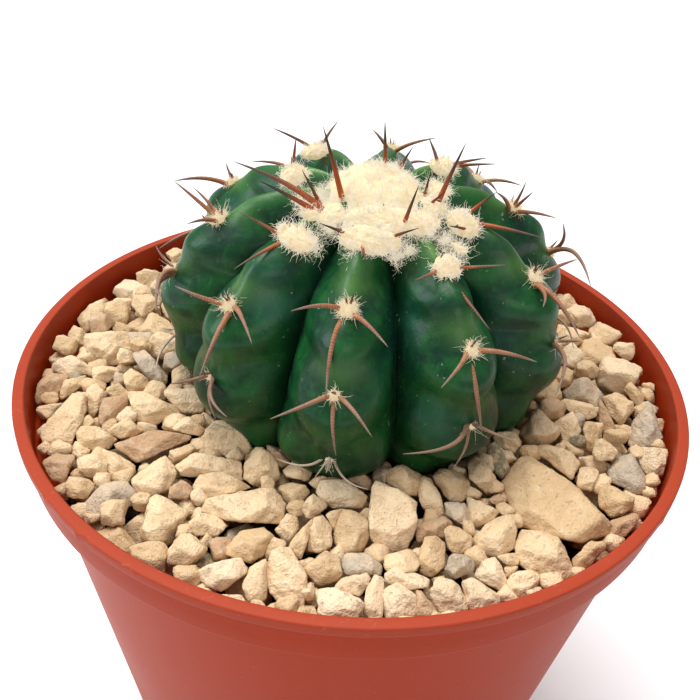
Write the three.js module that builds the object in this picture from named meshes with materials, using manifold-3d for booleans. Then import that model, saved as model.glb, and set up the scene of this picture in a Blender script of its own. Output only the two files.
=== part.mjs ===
// A round ribbed cactus in a 12 cm plastic nursery pot, top-dressed with crushed stone.
// Millimetres, +Z up. The origin is the middle of the pot's foot, on the surface it stands on.
import * as THREE from 'three';
import { ConvexGeometry } from 'three/addons/geometries/ConvexGeometry.js';
import { mergeVertices } from 'three/addons/utils/BufferGeometryUtils.js';
import Module from 'manifold-3d';

const wasm = await Module();
wasm.setup();

// ---- Driving dimensions -------------------------------------------------------------------

const GAP = 0.3; // between neighbouring pieces

// Pot
const POT_HEIGHT = 100;
const RIM_RADIUS = 60;
const LIP_INNER_RADIUS = 58.1;
const LIP_THICKNESS = 2;
const EDGE_SLOPE = 0.3; // on the undersides of lip and collar, and inside the foot ring
const COLLAR_RADIUS = 59;
const COLLAR_HEIGHT = 8.5;
const BODY_TOP_RADIUS = 56.8;
const FOOT_RADIUS = 45.5;
const WALL = 1.3;
const STEP = 1.6; // height of the sloping step where the collar meets the body
const FLOOR_UNDERSIDE = 3;
const FLOOR_THICKNESS = 1.6;
const FOOT_RING_WIDTH = 4;
const DRAIN_RADIUS = 4;
const DRAIN_CIRCLE = 30;
const DRAIN_COUNT = 6;
const DRAIN_SIDES = 6;
const POT_SIDES = 32; // of the pot and of what fills it
const POT_TURN = 2.8; // degrees, so that no corner between two of its sides lies on an axis

// Filling
const MIX_TOP = 88;
const BED_AT_WALL = 93.3; // the gravel bed that the stones are sunk in, at the pot's wall
const BED_AT_PLANT = 95.6;
const PLANT_EDGE = 30; // radius where the bed meets the cactus
const STONE_COUNT = 150;
const STONE_SEED = 11;
const STONE_SIZES = [9, 8, 6.5]; // length, from the coarse to the fine
const STONE_WIDTH = 0.85; // of its length
const STONE_SPREAD = 0.42; // of its length, the room that a stone keeps round its middle
const STONE_TILT = 1.2; // radians between the steepest stones
const STONE_POINTS = 8;
const STONE_ATTEMPTS = 6000; // at each size
// The largest stones lie where they are seen: x, y, length, width, height, turn in degrees.
const LARGE_STONES = [
  [32, -32.5, 18.5, 15.5, 6.5, -38],
  [28.5, -46, 9.5, 8.5, 6.5, 20],
  [8, -40, 14, 8, 7, 96],
  [-18.5, -26.5, 11.5, 8.5, 6.5, 5],
  [-15, -40, 13.5, 7, 6, 8],
  [-7, -50.5, 11, 6.5, 6, 100],
  [-46.5, -23, 14, 8, 7, 60],
  [-31, -28.5, 14, 7, 4, 12],
  [-36, -9, 12, 6.5, 6, 105],
  [51.5, -12.5, 11, 7, 7, 80],
];

// Cactus
const RIBS = 10;
const FIRST_RIB = 263.3; // compass angle of the rib at the front, degrees from +X
const BODY_RADIUS = 35.6;
const BODY_HALF_HEIGHT = 24.4;
const BODY_CENTRE = new THREE.Vector3(1.2, 2.1, POT_HEIGHT + 10);
const BODY_LEAN = 4; // degrees, the crown towards -Y
const FURROW_DEPTH = 0.27; // of the radius
const RIB_ROUNDNESS = 2.3; // exponent across a rib, 2 for a parabola
const BODY_SQUARENESS = { radius: 0.93, height: 0.9 }; // exponents, 1 for an ellipsoid
const FURROW_SINK = 0.6; // how far a furrow sinks in height as well as in radius
const CHIN_HEIGHT = 0.016; // of the radius
const AREOLE_SPACING = 27.5; // degrees of latitude along a rib
// Latitude of the areole nearest the equator on each rib, counted round from the front rib.
const AREOLE_LATITUDES = [14.7, 0, 9.5, 19.8, 8.8, 22, -2, 9.5, 17, 3];
const CROWN_DIMPLE = 3;
const CROWN_DIMPLE_RADIUS = 9;
const COLUMNS_PER_RIB = 6;
const LATITUDES = { from: -60, to: 86, rows: 19 };
const RIBS_RUN_OUT = [-54, -28]; // latitudes between which the ribs run out towards the root
const CHINS_RUN_OUT = [-45, -25]; // and the chins
const CHINS_END = [50, 75]; // the chins end towards the crown
const ROOT = { neckRadius: 8, neck: -23.5, middleRadius: 4, middle: -34, tip: -56, sides: 10 };

// Spines and wool
const SPINE_SEED = 6;
const SPINE_STEPS = 2;
const SPINE_SINK = 1.1;
const SPINE_BOW = 0.5; // of its length
const SPINE_TAPER = 0.75; // of its radius, lost by the last step before the point
// Each areole has a long spine down the rib, one to each side and a short one at the top:
// clock angle from the top, lift off the skin, length, the spread of each, and radius.
const SPINE_PATTERN = [
  { clock: 178, clockSpread: 10, lift: 14, liftSpread: 0, length: 12.4, spread: 1, radius: 0.62 },
  { clock: 112, clockSpread: 9, lift: 27, liftSpread: 6, length: 9.4, spread: 1, radius: 0.55 },
  { clock: -112, clockSpread: 9, lift: 27, liftSpread: 6, length: 9.2, spread: 1, radius: 0.55 },
  { clock: 0, clockSpread: 30, lift: 45, liftSpread: 0, length: 3.2, spread: 0, radius: 0.4 },
];
const SPINY_LATITUDES = [-14, 78];
const CUSHION_SIZE = [1.4, 2.3]; // radius of an areole's felt, at the equator and at the crown
const CUSHION_FULL = 50; // latitude where it reaches its full size
const WOOLLY_LATITUDE = 57; // areoles above this one stand in the crown's wool
const SPINE_FLOOR = 99.6; // the spines over the gravel stay above this height
const WOOL_RADIUS = 9.6;
const WOOL_HEIGHT = 9; // half of the dome's height
const WOOL_TOP = 28.6; // above the body's centre
const FELT_RADIUS = 13; // the thinner felt round the wool's dome
const FELT_HEIGHT = 5;
const FELT_TOP = 25;
const TUFT = { width: 3, length: 5.4, height: 2.4, inward: 2.4, out: 0.8 }; // of a crown areole
const CROWN_SPINE_RADIUS = 0.8;
// Crown spines: compass angle and distance of the base from the axis, lean from upright,
// compass angle leaned to, length.
const CROWN_SPINES = [
  [196, 7.5, 18, 190, 11.5],
  [80, 8, 6, 80, 10.5],
  [336, 11, 24, 5, 12.5],
  [291, 11.5, 22, 330, 10],
  [226, 12.5, 50, 215, 14],
  [224, 10.5, 30, 190, 9],
  [154, 13.5, 12, 120, 6.5],
  [30, 12, 26, 40, 11],
  [120, 12, 30, 115, 11],
  [255, 14.5, 68, 185, 6],
  [278, 14.5, 66, 352, 6.5],
];

// ---- Helpers ------------------------------------------------------------------------------

const rad = THREE.MathUtils.degToRad;

function seededRandom(seed) {
  let state = seed;
  return () => {
    state = (state * 1664525 + 1013904223) % 4294967296;
    return state / 4294967296;
  };
}

function solid(geometry) {
  const bare = geometry.clone();
  bare.deleteAttribute('normal');
  bare.deleteAttribute('uv');
  const merged = mergeVertices(bare, 1e-4);
  return new wasm.Manifold(new wasm.Mesh({
    numProp: 3,
    vertProperties: Float32Array.from(merged.attributes.position.array),
    triVerts: Uint32Array.from(merged.index.array),
  }));
}

function union(solids) {
  return solids.reduce((whole, piece) => whole.add(piece));
}

// The largest body of a solid, without loose scraps.
function mainBody(shape) {
  const bodies = shape.decompose();
  return bodies.reduce((best, body) => (body.volume() > best.volume() ? body : best));
}

function geometryOf(shape) {
  const mesh = shape.getMesh();
  const geometry = new THREE.BufferGeometry();
  geometry.setAttribute('position', new THREE.BufferAttribute(mesh.vertProperties, 3));
  geometry.setIndex(new THREE.BufferAttribute(mesh.triVerts, 1));
  return geometry;
}

// A turned solid from [radius, height] points listed bottom to top up the outside, then down.
function turned(outline, sides, turn = 0) {
  const points = outline.map(([radius, height]) => new THREE.Vector2(radius, height));
  return new THREE.LatheGeometry(points, sides).rotateX(Math.PI / 2).rotateZ(rad(turn));
}

// A closed skin over rings of points listed bottom to top, closed by a point at each end.
function skin(bottom, rings, top) {
  const count = rings[0].length;
  const points = [bottom, ...rings.flat(), top];
  const index = [];
  const at = (row, column) => 1 + row * count + (column % count);
  for (let column = 0; column < count; column++) {
    index.push(0, at(0, column + 1), at(0, column));
    index.push(points.length - 1, at(rings.length - 1, column), at(rings.length - 1, column + 1));
    for (let row = 0; row + 1 < rings.length; row++) {
      index.push(at(row, column), at(row, column + 1), at(row + 1, column + 1));
      index.push(at(row, column), at(row + 1, column + 1), at(row + 1, column));
    }
  }
  const geometry = new THREE.BufferGeometry().setFromPoints(points);
  geometry.setIndex(index);
  return geometry;
}

function part(name, shape, color, roughness) {
  const material = new THREE.MeshStandardMaterial({ color, roughness, metalness: 0 });
  const mesh = new THREE.Mesh(geometryOf(shape), material);
  mesh.name = name;
  return mesh;
}

// ---- Pot ----------------------------------------------------------------------------------

const COLLAR_BOTTOM = POT_HEIGHT - COLLAR_HEIGHT;
const FLOOR_TOP = FLOOR_UNDERSIDE + FLOOR_THICKNESS;
const COLLAR_INSIDE = COLLAR_RADIUS - WALL;
const INNER_STEP = COLLAR_BOTTOM - WALL;

function bodyRadius(height) {
  return FOOT_RADIUS + (BODY_TOP_RADIUS - FOOT_RADIUS) * height / COLLAR_BOTTOM;
}

function buildPot() {
  const shell = solid(turned([
    [FOOT_RADIUS, 0],
    [BODY_TOP_RADIUS, COLLAR_BOTTOM],
    [COLLAR_RADIUS, COLLAR_BOTTOM + EDGE_SLOPE],
    [COLLAR_RADIUS, POT_HEIGHT - LIP_THICKNESS],
    [RIM_RADIUS, POT_HEIGHT - LIP_THICKNESS + EDGE_SLOPE],
    [RIM_RADIUS, POT_HEIGHT],
    [LIP_INNER_RADIUS, POT_HEIGHT],
    [COLLAR_INSIDE, INNER_STEP + STEP],
    [bodyRadius(INNER_STEP) - WALL, INNER_STEP],
    [bodyRadius(FLOOR_TOP) - WALL, FLOOR_TOP],
    [0, FLOOR_TOP],
    [0, FLOOR_UNDERSIDE],
    [FOOT_RADIUS - FOOT_RING_WIDTH, FLOOR_UNDERSIDE],
    [FOOT_RADIUS - FOOT_RING_WIDTH - EDGE_SLOPE, 0],
    [FOOT_RADIUS, 0],
  ], POT_SIDES, POT_TURN));
  const drains = [];
  for (let i = 0; i < DRAIN_COUNT; i++) {
    const angle = 2 * Math.PI * i / DRAIN_COUNT;
    const depth = 4 * FLOOR_THICKNESS;
    const hole = new THREE.CylinderGeometry(DRAIN_RADIUS, DRAIN_RADIUS, depth, DRAIN_SIDES);
    hole.rotateX(Math.PI / 2);
    hole.translate(DRAIN_CIRCLE * Math.cos(angle), DRAIN_CIRCLE * Math.sin(angle), FLOOR_TOP);
    drains.push(solid(hole));
  }
  return shell.subtract(union(drains));
}

// ---- Cactus body --------------------------------------------------------------------------

const bodyPlace = new THREE.Matrix4().makeTranslation(BODY_CENTRE);
bodyPlace.multiply(new THREE.Matrix4().makeRotationX(rad(BODY_LEAN)));

// 0 up to the first of two values and 1 from the second.
function ramp([low, high], value) {
  return THREE.MathUtils.clamp((value - low) / (high - low), 0, 1);
}

// A point of the ribbed skin in the body's own frame; angles in degrees.
function skinPoint(compass, latitude, grow = 0) {
  const turn = (compass - FIRST_RIB) * RIBS / 360;
  const rib = Math.round(turn);
  const across = Math.abs(turn - rib) * 2; // 0 on the rib's crest, 1 in the furrow
  const areole = AREOLE_LATITUDES[((rib % RIBS) + RIBS) % RIBS];
  const along = (latitude - areole) / AREOLE_SPACING;
  const rise = 1 - across ** RIB_ROUNDNESS;
  const chins = ramp(CHINS_RUN_OUT, latitude) * (1 - ramp(CHINS_END, latitude));
  const furrow = FURROW_DEPTH * ramp(RIBS_RUN_OUT, latitude) * (1 - rise);
  const scale = 1 - furrow - CHIN_HEIGHT * chins * rise * Math.cos(2 * Math.PI * along);
  const outward = Math.cos(rad(latitude)) ** BODY_SQUARENESS.radius;
  const radius = (BODY_RADIUS + grow) * outward * scale;
  const sine = Math.sin(rad(latitude));
  const upward = Math.sign(sine) * Math.abs(sine) ** BODY_SQUARENESS.height;
  let height = (BODY_HALF_HEIGHT + grow) * upward * (1 - FURROW_SINK * (1 - scale));
  if (latitude > 0) {
    height -= CROWN_DIMPLE * Math.exp(-((radius / CROWN_DIMPLE_RADIUS) ** 2));
  }
  return new THREE.Vector3(
    radius * Math.cos(rad(compass)),
    radius * Math.sin(rad(compass)),
    height,
  );
}

function buildBody(grow) {
  const columns = RIBS * COLUMNS_PER_RIB;
  const rings = [];
  for (let row = 0; row <= LATITUDES.rows; row++) {
    const latitude = THREE.MathUtils.lerp(LATITUDES.from, LATITUDES.to, row / LATITUDES.rows);
    const ring = [];
    for (let column = 0; column < columns; column++) {
      ring.push(skinPoint(FIRST_RIB + 360 * column / columns, latitude, grow));
    }
    rings.push(ring);
  }
  const bottom = new THREE.Vector3(0, 0, ROOT.neck - grow);
  const top = new THREE.Vector3(0, 0, skinPoint(0, LATITUDES.to, grow).z);
  const globe = solid(skin(bottom, rings, top).applyMatrix4(bodyPlace));
  const root = solid(turned([
    [0, ROOT.tip - grow],
    [0.8 + grow, ROOT.tip - grow],
    [ROOT.middleRadius + grow, ROOT.middle],
    [ROOT.neckRadius + grow, ROOT.neck],
    [ROOT.neckRadius + 3 + grow, ROOT.neck + 4],
    [0, ROOT.neck + 4],
  ], ROOT.sides).applyMatrix4(bodyPlace));
  return globe.add(root);
}

// ---- Areoles and spines -------------------------------------------------------------------

// A curved three-sided needle, bowed towards outer. Its base is sunk behind root, and where it
// hangs over the gravel it is bent up clear of the stones.
function spine(root, direction, length, outer, radius) {
  const side = new THREE.Vector3().crossVectors(direction, outer).normalize();
  const back = new THREE.Vector3().crossVectors(side, direction).normalize();
  const lowest = Math.min(SPINE_FLOOR, root.z);
  const rings = [];
  for (let step = 0; step < SPINE_STEPS; step++) {
    const t = step / SPINE_STEPS;
    const reach = step === 0 ? -SPINE_SINK : length * t;
    const centre = root.clone().addScaledVector(direction, reach);
    centre.addScaledVector(back, SPINE_BOW * length * t * (1 - t));
    centre.z = Math.max(centre.z, lowest);
    const ring = [];
    for (let corner = 0; corner < 3; corner++) {
      const angle = 2 * Math.PI * corner / 3;
      const width = radius * (1 - SPINE_TAPER * t);
      ring.push(centre.clone()
        .addScaledVector(side, -width * Math.cos(angle))
        .addScaledVector(back, width * Math.sin(angle)));
    }
    rings.push(ring);
  }
  const tip = root.clone().addScaledVector(direction, length);
  tip.z = Math.max(tip.z, lowest);
  const base = root.clone().addScaledVector(direction, -SPINE_SINK - radius / 2);
  return skin(base, rings, tip);
}

// The frame of an areole: its place, the way out of the skin, up the rib and to the right.
function areoleFrame(compass, latitude) {
  const place = skinPoint(compass, latitude);
  const above = skinPoint(compass, latitude + 1);
  const below = skinPoint(compass, latitude - 1);
  const out = new THREE.Vector3(
    Math.cos(rad(latitude)) * Math.cos(rad(compass)) / BODY_RADIUS,
    Math.cos(rad(latitude)) * Math.sin(rad(compass)) / BODY_RADIUS,
    Math.sin(rad(latitude)) / BODY_HALF_HEIGHT,
  ).normalize();
  const up = above.sub(below);
  up.addScaledVector(out, -up.dot(out)).normalize();
  out.transformDirection(bodyPlace);
  up.transformDirection(bodyPlace);
  const right = new THREE.Vector3().crossVectors(up, out);
  return { place: place.applyMatrix4(bodyPlace), out, up, right, latitude };
}

function listAreoles() {
  const areoles = [];
  for (let rib = 0; rib < RIBS; rib++) {
    const compass = FIRST_RIB + 360 * rib / RIBS;
    for (let step = -2; step <= 3; step++) {
      const latitude = AREOLE_LATITUDES[rib] + step * AREOLE_SPACING;
      if (latitude > SPINY_LATITUDES[0] && latitude < SPINY_LATITUDES[1]) {
        areoles.push(areoleFrame(compass, latitude));
      }
    }
  }
  return areoles;
}

// The spines of an areole. One in the crown's wool has only the two at its sides.
function spinesOf(areole, random, grow = 0) {
  const jitter = (spread) => spread * (2 * random() - 1);
  const spines = SPINE_PATTERN.map((spec) => {
    const clock = rad(spec.clock + jitter(spec.clockSpread));
    const lift = rad(spec.lift + jitter(spec.liftSpread));
    const length = spec.length + jitter(spec.spread);
    const direction = new THREE.Vector3()
      .addScaledVector(areole.up, Math.cos(clock) * Math.cos(lift))
      .addScaledVector(areole.right, Math.sin(clock) * Math.cos(lift))
      .addScaledVector(areole.out, Math.sin(lift))
      .normalize();
    return solid(spine(areole.place, direction, length, areole.out, spec.radius + grow));
  });
  return areole.latitude > WOOLLY_LATITUDE ? spines.slice(1, 3) : spines;
}

// A small felt cushion, larger and fluffier towards the crown.
function cushion(areole, grow) {
  const full = ramp([0, CUSHION_FULL], areole.latitude);
  const size = THREE.MathUtils.lerp(CUSHION_SIZE[0], CUSHION_SIZE[1], full) + grow;
  const felt = new THREE.IcosahedronGeometry(1, 0);
  const frame = new THREE.Matrix4().makeBasis(areole.right, areole.up, areole.out);
  felt.scale(size, size * 1.15, size * 0.7);
  felt.applyMatrix4(frame.setPosition(areole.place));
  return solid(felt);
}

function buildStem(areoles, grow) {
  const random = seededRandom(SPINE_SEED);
  const pieces = [buildBody(grow)];
  for (const areole of areoles) {
    const spines = spinesOf(areole, random, grow);
    if (areole.latitude <= WOOLLY_LATITUDE) {
      pieces.push(cushion(areole, grow), ...spines);
    }
  }
  return union(pieces);
}

// ---- Crown wool ---------------------------------------------------------------------------

function buildWool(areoles, stem) {
  const dome = new THREE.IcosahedronGeometry(1, 2);
  dome.scale(WOOL_RADIUS, WOOL_RADIUS, WOOL_HEIGHT);
  dome.translate(0, 0, WOOL_TOP - WOOL_HEIGHT);
  const felt = new THREE.SphereGeometry(1, 20, 6).rotateX(Math.PI / 2);
  felt.scale(FELT_RADIUS, FELT_RADIUS, FELT_HEIGHT);
  felt.translate(0, 0, FELT_TOP - FELT_HEIGHT);
  const pieces = [solid(dome.applyMatrix4(bodyPlace)), solid(felt.applyMatrix4(bodyPlace))];
  const random = seededRandom(SPINE_SEED);
  for (const areole of areoles) {
    const spines = spinesOf(areole, random);
    if (areole.latitude > WOOLLY_LATITUDE) {
      const tuft = new THREE.IcosahedronGeometry(1, 1);
      tuft.scale(TUFT.width, TUFT.length, TUFT.height);
      const place = areole.place.clone().addScaledVector(areole.up, TUFT.inward);
      place.addScaledVector(areole.out, TUFT.out);
      const frame = new THREE.Matrix4().makeBasis(areole.right, areole.up, areole.out);
      pieces.push(solid(tuft.applyMatrix4(frame.setPosition(place))), ...spines);
    }
  }
  for (const [compass, distance, lean, leanTo, length] of CROWN_SPINES) {
    const base = new THREE.Vector3(
      distance * Math.cos(rad(compass)),
      distance * Math.sin(rad(compass)),
      BODY_HALF_HEIGHT * Math.sqrt(1 - (distance / BODY_RADIUS) ** 2) + 0.5,
    );
    const direction = new THREE.Vector3(
      Math.sin(rad(lean)) * Math.cos(rad(leanTo)),
      Math.sin(rad(lean)) * Math.sin(rad(leanTo)),
      Math.cos(rad(lean)),
    );
    const outer = new THREE.Vector3(-direction.x, -direction.y, 1);
    base.applyMatrix4(bodyPlace);
    direction.transformDirection(bodyPlace);
    pieces.push(solid(spine(base, direction, length, outer, CROWN_SPINE_RADIUS)));
  }
  return mainBody(union(pieces).subtract(stem));
}

// ---- Filling ------------------------------------------------------------------------------

function buildMix(stem) {
  const fill = solid(turned([
    [0, FLOOR_TOP + GAP],
    [bodyRadius(FLOOR_TOP) - WALL - GAP, FLOOR_TOP + GAP],
    [bodyRadius(MIX_TOP) - WALL - GAP, MIX_TOP],
    [0, MIX_TOP],
  ], POT_SIDES, POT_TURN));
  return fill.subtract(stem);
}

// An angular stone: the hull of points spread round an ellipsoid, kept inside the pot's wall.
function stone(x, y, z, size, turn, tilt, random) {
  const place = new THREE.Matrix4().makeTranslation(x, y, z);
  place.multiply(new THREE.Matrix4().makeRotationFromEuler(new THREE.Euler(tilt, tilt / 2, turn)));
  const limit = COLLAR_INSIDE - 2 * GAP;
  const points = [];
  for (let i = 0; i < STONE_POINTS; i++) {
    const height = 1 - 2 * (i + 0.5) / STONE_POINTS;
    const across = Math.sqrt(1 - height * height);
    const around = 2.4 * i + 0.9 * random(); // near the golden angle, so that they spread evenly
    const point = new THREE.Vector3(across * Math.cos(around), across * Math.sin(around), height);
    point.multiply(size).multiplyScalar(0.5 + 0.09 * random());
    point.applyMatrix4(place);
    const reach = Math.hypot(point.x, point.y);
    if (reach > limit) {
      point.x *= limit / reach;
      point.y *= limit / reach;
    }
    points.push(point);
  }
  return solid(new ConvexGeometry(points));
}

function bedHeight(distance) {
  const outward = ramp([PLANT_EDGE, COLLAR_INSIDE], distance);
  return THREE.MathUtils.lerp(BED_AT_PLANT, BED_AT_WALL, outward);
}

function buildBed() {
  const wall = COLLAR_INSIDE - GAP;
  return solid(turned([
    [0, MIX_TOP + GAP],
    [bodyRadius(MIX_TOP) - WALL - GAP, MIX_TOP + GAP],
    [bodyRadius(INNER_STEP) - WALL - GAP, INNER_STEP],
    [wall, INNER_STEP + STEP + GAP],
    [wall, BED_AT_WALL],
    [PLANT_EDGE, BED_AT_PLANT],
    [0, BED_AT_PLANT],
  ], POT_SIDES, POT_TURN));
}

// The stones are dropped at random, the large ones first, where there is still room for them.
function buildStones() {
  const random = seededRandom(STONE_SEED);
  const stones = [];
  const taken = [];
  for (const [x, y, length, width, height, turn] of LARGE_STONES) {
    const z = bedHeight(Math.hypot(x, y)) + height / 4;
    const size = new THREE.Vector3(length, width, height);
    stones.push(stone(x, y, z, size, rad(turn), 0, random));
    taken.push({ x, y, room: STONE_SPREAD * (length + width) / 2 });
  }
  for (const across of STONE_SIZES) {
    for (let attempt = 0; attempt < STONE_ATTEMPTS && taken.length < STONE_COUNT; attempt++) {
      const length = across * (0.85 + 0.35 * random());
      const room = STONE_SPREAD * length;
      const inner = PLANT_EDGE - room;
      const outer = COLLAR_INSIDE - room;
      const distance = Math.sqrt(THREE.MathUtils.lerp(inner * inner, outer * outer, random()));
      const compass = 2 * Math.PI * random();
      const x = distance * Math.cos(compass);
      const y = distance * Math.sin(compass);
      if (taken.every((other) => Math.hypot(other.x - x, other.y - y) > other.room + room)) {
        const size = new THREE.Vector3(1, STONE_WIDTH, 0.7 + 0.2 * random());
        size.multiplyScalar(length);
        const z = bedHeight(distance) + size.z / 10;
        const tilt = STONE_TILT * (random() - 0.5);
        stones.push(stone(x, y, z, size, 2 * Math.PI * random(), tilt, random));
        taken.push({ x, y, room });
      }
    }
  }
  return stones;
}

function buildGravel(stem) {
  return mainBody(union([buildBed(), ...buildStones()]).subtract(stem));
}

// ---- The whole plant ----------------------------------------------------------------------

const areoles = listAreoles();
const stem = buildStem(areoles, 0);
const stemWithRoom = buildStem(areoles, GAP + 0.2);

const group = new THREE.Group();
group.add(
  part('pot', buildPot(), 0xc05a48, 0.45),
  part('potting_mix', buildMix(stemWithRoom), 0x3a2a20, 0.95),
  part('gravel', buildGravel(stemWithRoom), 0xe3cda4, 0.9),
  part('cactus_stem', stem, 0x1f5a3a, 0.4),
  part('crown_wool', buildWool(areoles, stemWithRoom), 0xf6e6c4, 1),
);

export default group;
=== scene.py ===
# A flattened, ribbed cactus with a woolly crown, top-dressed with crushed stone in a 12 cm
# terracotta-coloured plastic nursery pot. +Z is up and the photograph's side is towards -Y.
# Shapes are worked out in millimetres, and made in metres.
import math

import bmesh
import bpy
import numpy as np
from mathutils import Matrix, Vector
from numpy.lib.stride_tricks import sliding_window_view


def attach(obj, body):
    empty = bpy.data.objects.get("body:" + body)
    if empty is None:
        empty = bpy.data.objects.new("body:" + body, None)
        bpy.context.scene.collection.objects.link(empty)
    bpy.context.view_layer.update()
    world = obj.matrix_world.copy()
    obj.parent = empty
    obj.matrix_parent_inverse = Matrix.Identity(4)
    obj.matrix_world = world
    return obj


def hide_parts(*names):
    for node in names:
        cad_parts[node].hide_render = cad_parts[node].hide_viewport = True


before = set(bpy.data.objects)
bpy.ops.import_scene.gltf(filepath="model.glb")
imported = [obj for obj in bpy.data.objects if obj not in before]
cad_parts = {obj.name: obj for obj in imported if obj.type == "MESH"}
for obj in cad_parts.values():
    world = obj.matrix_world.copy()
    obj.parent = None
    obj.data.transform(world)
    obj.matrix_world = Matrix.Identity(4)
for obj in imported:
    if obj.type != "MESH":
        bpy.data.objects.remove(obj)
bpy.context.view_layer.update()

# ---- Table top, light and camera ------------------------------------------------------------
# The plant stands on a plain pale table top that runs on behind it, under a broad pale ceiling
# light and a cool window on the left. The camera looks down on it by 35 degrees.

MM = 0.001


class Wire:
    """A number that runs through a finish's nodes. Sums on it add Math nodes."""

    def __init__(self, finish, socket):
        self.finish, self.socket = finish, socket

    def sum(self, operation, first, second):
        return self.finish.node("ShaderNodeMath", {"operation": operation}, {0: first, 1: second})

    def __add__(self, other):
        return self.sum("ADD", self, other)

    def __sub__(self, other):
        return self.sum("SUBTRACT", self, other)

    def __rsub__(self, other):
        return self.sum("SUBTRACT", other, self)

    def __mul__(self, other):
        return self.sum("MULTIPLY", self, other)

    def __pow__(self, other):
        return self.sum("POWER", self, other)

    __radd__, __rmul__ = __add__, __mul__


class Finish:
    """A material of one Principled surface, built node by node."""

    def __init__(self, name, **constants):
        self.material = bpy.data.materials.new(name)
        self.material.use_nodes = True
        self.tree = self.material.node_tree
        self.tree.nodes.clear()
        self.surface = self.tree.nodes.new("ShaderNodeBsdfPrincipled")
        output = self.tree.nodes.new("ShaderNodeOutputMaterial")
        self.tree.links.new(self.surface.outputs[0], output.inputs["Surface"])
        self.wear(**constants)

    def node(self, kind, settings, sockets, out=0):
        """A node of that kind: its settings are set first, then its sockets' values and links."""
        made = self.tree.nodes.new(kind)
        for name, value in settings.items():
            if name == "stops":
                for _ in value[2:]:
                    made.color_ramp.elements.new(0.5)
                for stop, (place, colour) in zip(made.color_ramp.elements, value):
                    stop.position, stop.color = place, (*colour, 1)
            else:
                setattr(made, name, value)
        for name, value in sockets.items():
            self.put(made.inputs[name], value)
        return Wire(self, made.outputs[out])

    def put(self, socket, value):
        if isinstance(value, Wire):
            self.tree.links.new(value.socket, socket)
        elif socket.type == "RGBA":
            socket.default_value = (*value, 1)
        else:
            socket.default_value = value

    def wear(self, **sockets):
        """Sets the surface's own sockets, or feeds them."""
        for name, value in sockets.items():
            self.put(self.surface.inputs[name.replace("_", " ")], value)
        return self.material

    def place(self, *squeeze):
        """Where a point is on its object. A pattern is drawn out along a side that is squeezed."""
        spot = self.node("ShaderNodeTexCoord", {}, {}, out="Object")
        if not squeeze:
            return spot
        return self.node("ShaderNodeVectorMath", {"operation": "MULTIPLY"}, {0: spot, 1: squeeze})

    def noise(self, grain, detail=3.0, roughness=0.55, place=None, warp=0.0):
        """Soft random mottling from 0 to 1; grain is the size of its patches in metres."""
        sockets = {"Vector": place or self.place(), "Scale": 1 / grain, "Detail": detail,
                   "Roughness": roughness, "Distortion": warp}
        return self.node("ShaderNodeTexNoise", {}, sockets)

    def step(self, value, low, high):
        """0 where value is under low and 1 where it is over high, with a soft edge between."""
        settings = {"interpolation_type": "SMOOTHSTEP"}
        return self.node("ShaderNodeMapRange", settings, {0: value, 1: low, 2: high, 3: 0.0, 4: 1.0})

    def mix(self, mask, first, second):
        """The first colour where mask is 0 and the second where it is 1."""
        sockets = {0: mask, 6: first, 7: second}
        return self.node("ShaderNodeMix", {"data_type": "RGBA"}, sockets, out=2)

    def bump(self, height, depth):
        """A normal for a relief of that depth in metres."""
        return self.node("ShaderNodeBump", {}, {"Height": height, "Distance": depth})

    def carried(self, name):
        """A number that the mesh carries at each of its points."""
        return self.node("ShaderNodeAttribute", {"attribute_name": name}, {}, out="Fac")


def mesh_object(name, points, faces, material, **carried):
    """A smooth mesh from points in metres, with a number for each point under each carried name."""
    mesh = bpy.data.meshes.new(name)
    mesh.from_pydata(np.asarray(points, float).tolist(), [], [list(f) for f in faces])
    mesh.polygons.foreach_set("use_smooth", [True] * len(mesh.polygons))
    for key, values in carried.items():
        layer = mesh.attributes.new(key, "FLOAT", "POINT")
        layer.data.foreach_set("value", np.asarray(values, np.float32))
    mesh.materials.append(material)
    mesh.update()
    made = bpy.data.objects.new(name, mesh)
    bpy.context.scene.collection.objects.link(made)
    return made


TABLE_REACH, TABLE_PATCH_SIZE = 3.0, 0.3
TABLE_COLOUR, TABLE_PATCHES = (0.90, 0.87, 0.885), (0.94, 0.925, 0.93)

pale = Finish("pale_table", Roughness=0.6, Specular_IOR_Level=0.2)
pale.wear(Base_Color=pale.mix(pale.noise(TABLE_PATCH_SIZE), TABLE_COLOUR, TABLE_PATCHES))
corners = [(x * TABLE_REACH, y * TABLE_REACH, 0) for x, y in ((-1, -1), (1, -1), (1, 1), (-1, 1))]
table_top = mesh_object("table_top", corners, [(0, 1, 2, 3)], pale.material)

LENS, FILM, PICTURE = 39.764, 36, 700  # millimetres, and pixels across the photograph
CAMERA_PLACE = Vector((-1.023, -118.388, 183.665)) * MM
CAMERA_PITCH, CAMERA_ROLL = math.radians(35.219), math.radians(4.377)

forward = Vector((0, math.cos(CAMERA_PITCH), -math.sin(CAMERA_PITCH)))
upright = Vector((0, math.sin(CAMERA_PITCH), math.cos(CAMERA_PITCH)))
rightward = math.cos(CAMERA_ROLL) * Vector((1, 0, 0)) + math.sin(CAMERA_ROLL) * upright
topward = rightward.cross(forward)
lens = bpy.data.cameras.new("camera")
lens.lens, lens.sensor_width = LENS, FILM
lens.clip_start, lens.clip_end = 0.005, 20
camera = bpy.data.objects.new("camera", lens)
camera_turn = Matrix((rightward, topward, -forward)).transposed().to_4x4()
camera.matrix_world = Matrix.Translation(CAMERA_PLACE) @ camera_turn
bpy.context.scene.collection.objects.link(camera)
bpy.context.scene.camera = camera
bpy.context.scene.view_settings.view_transform = "Standard"

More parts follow.
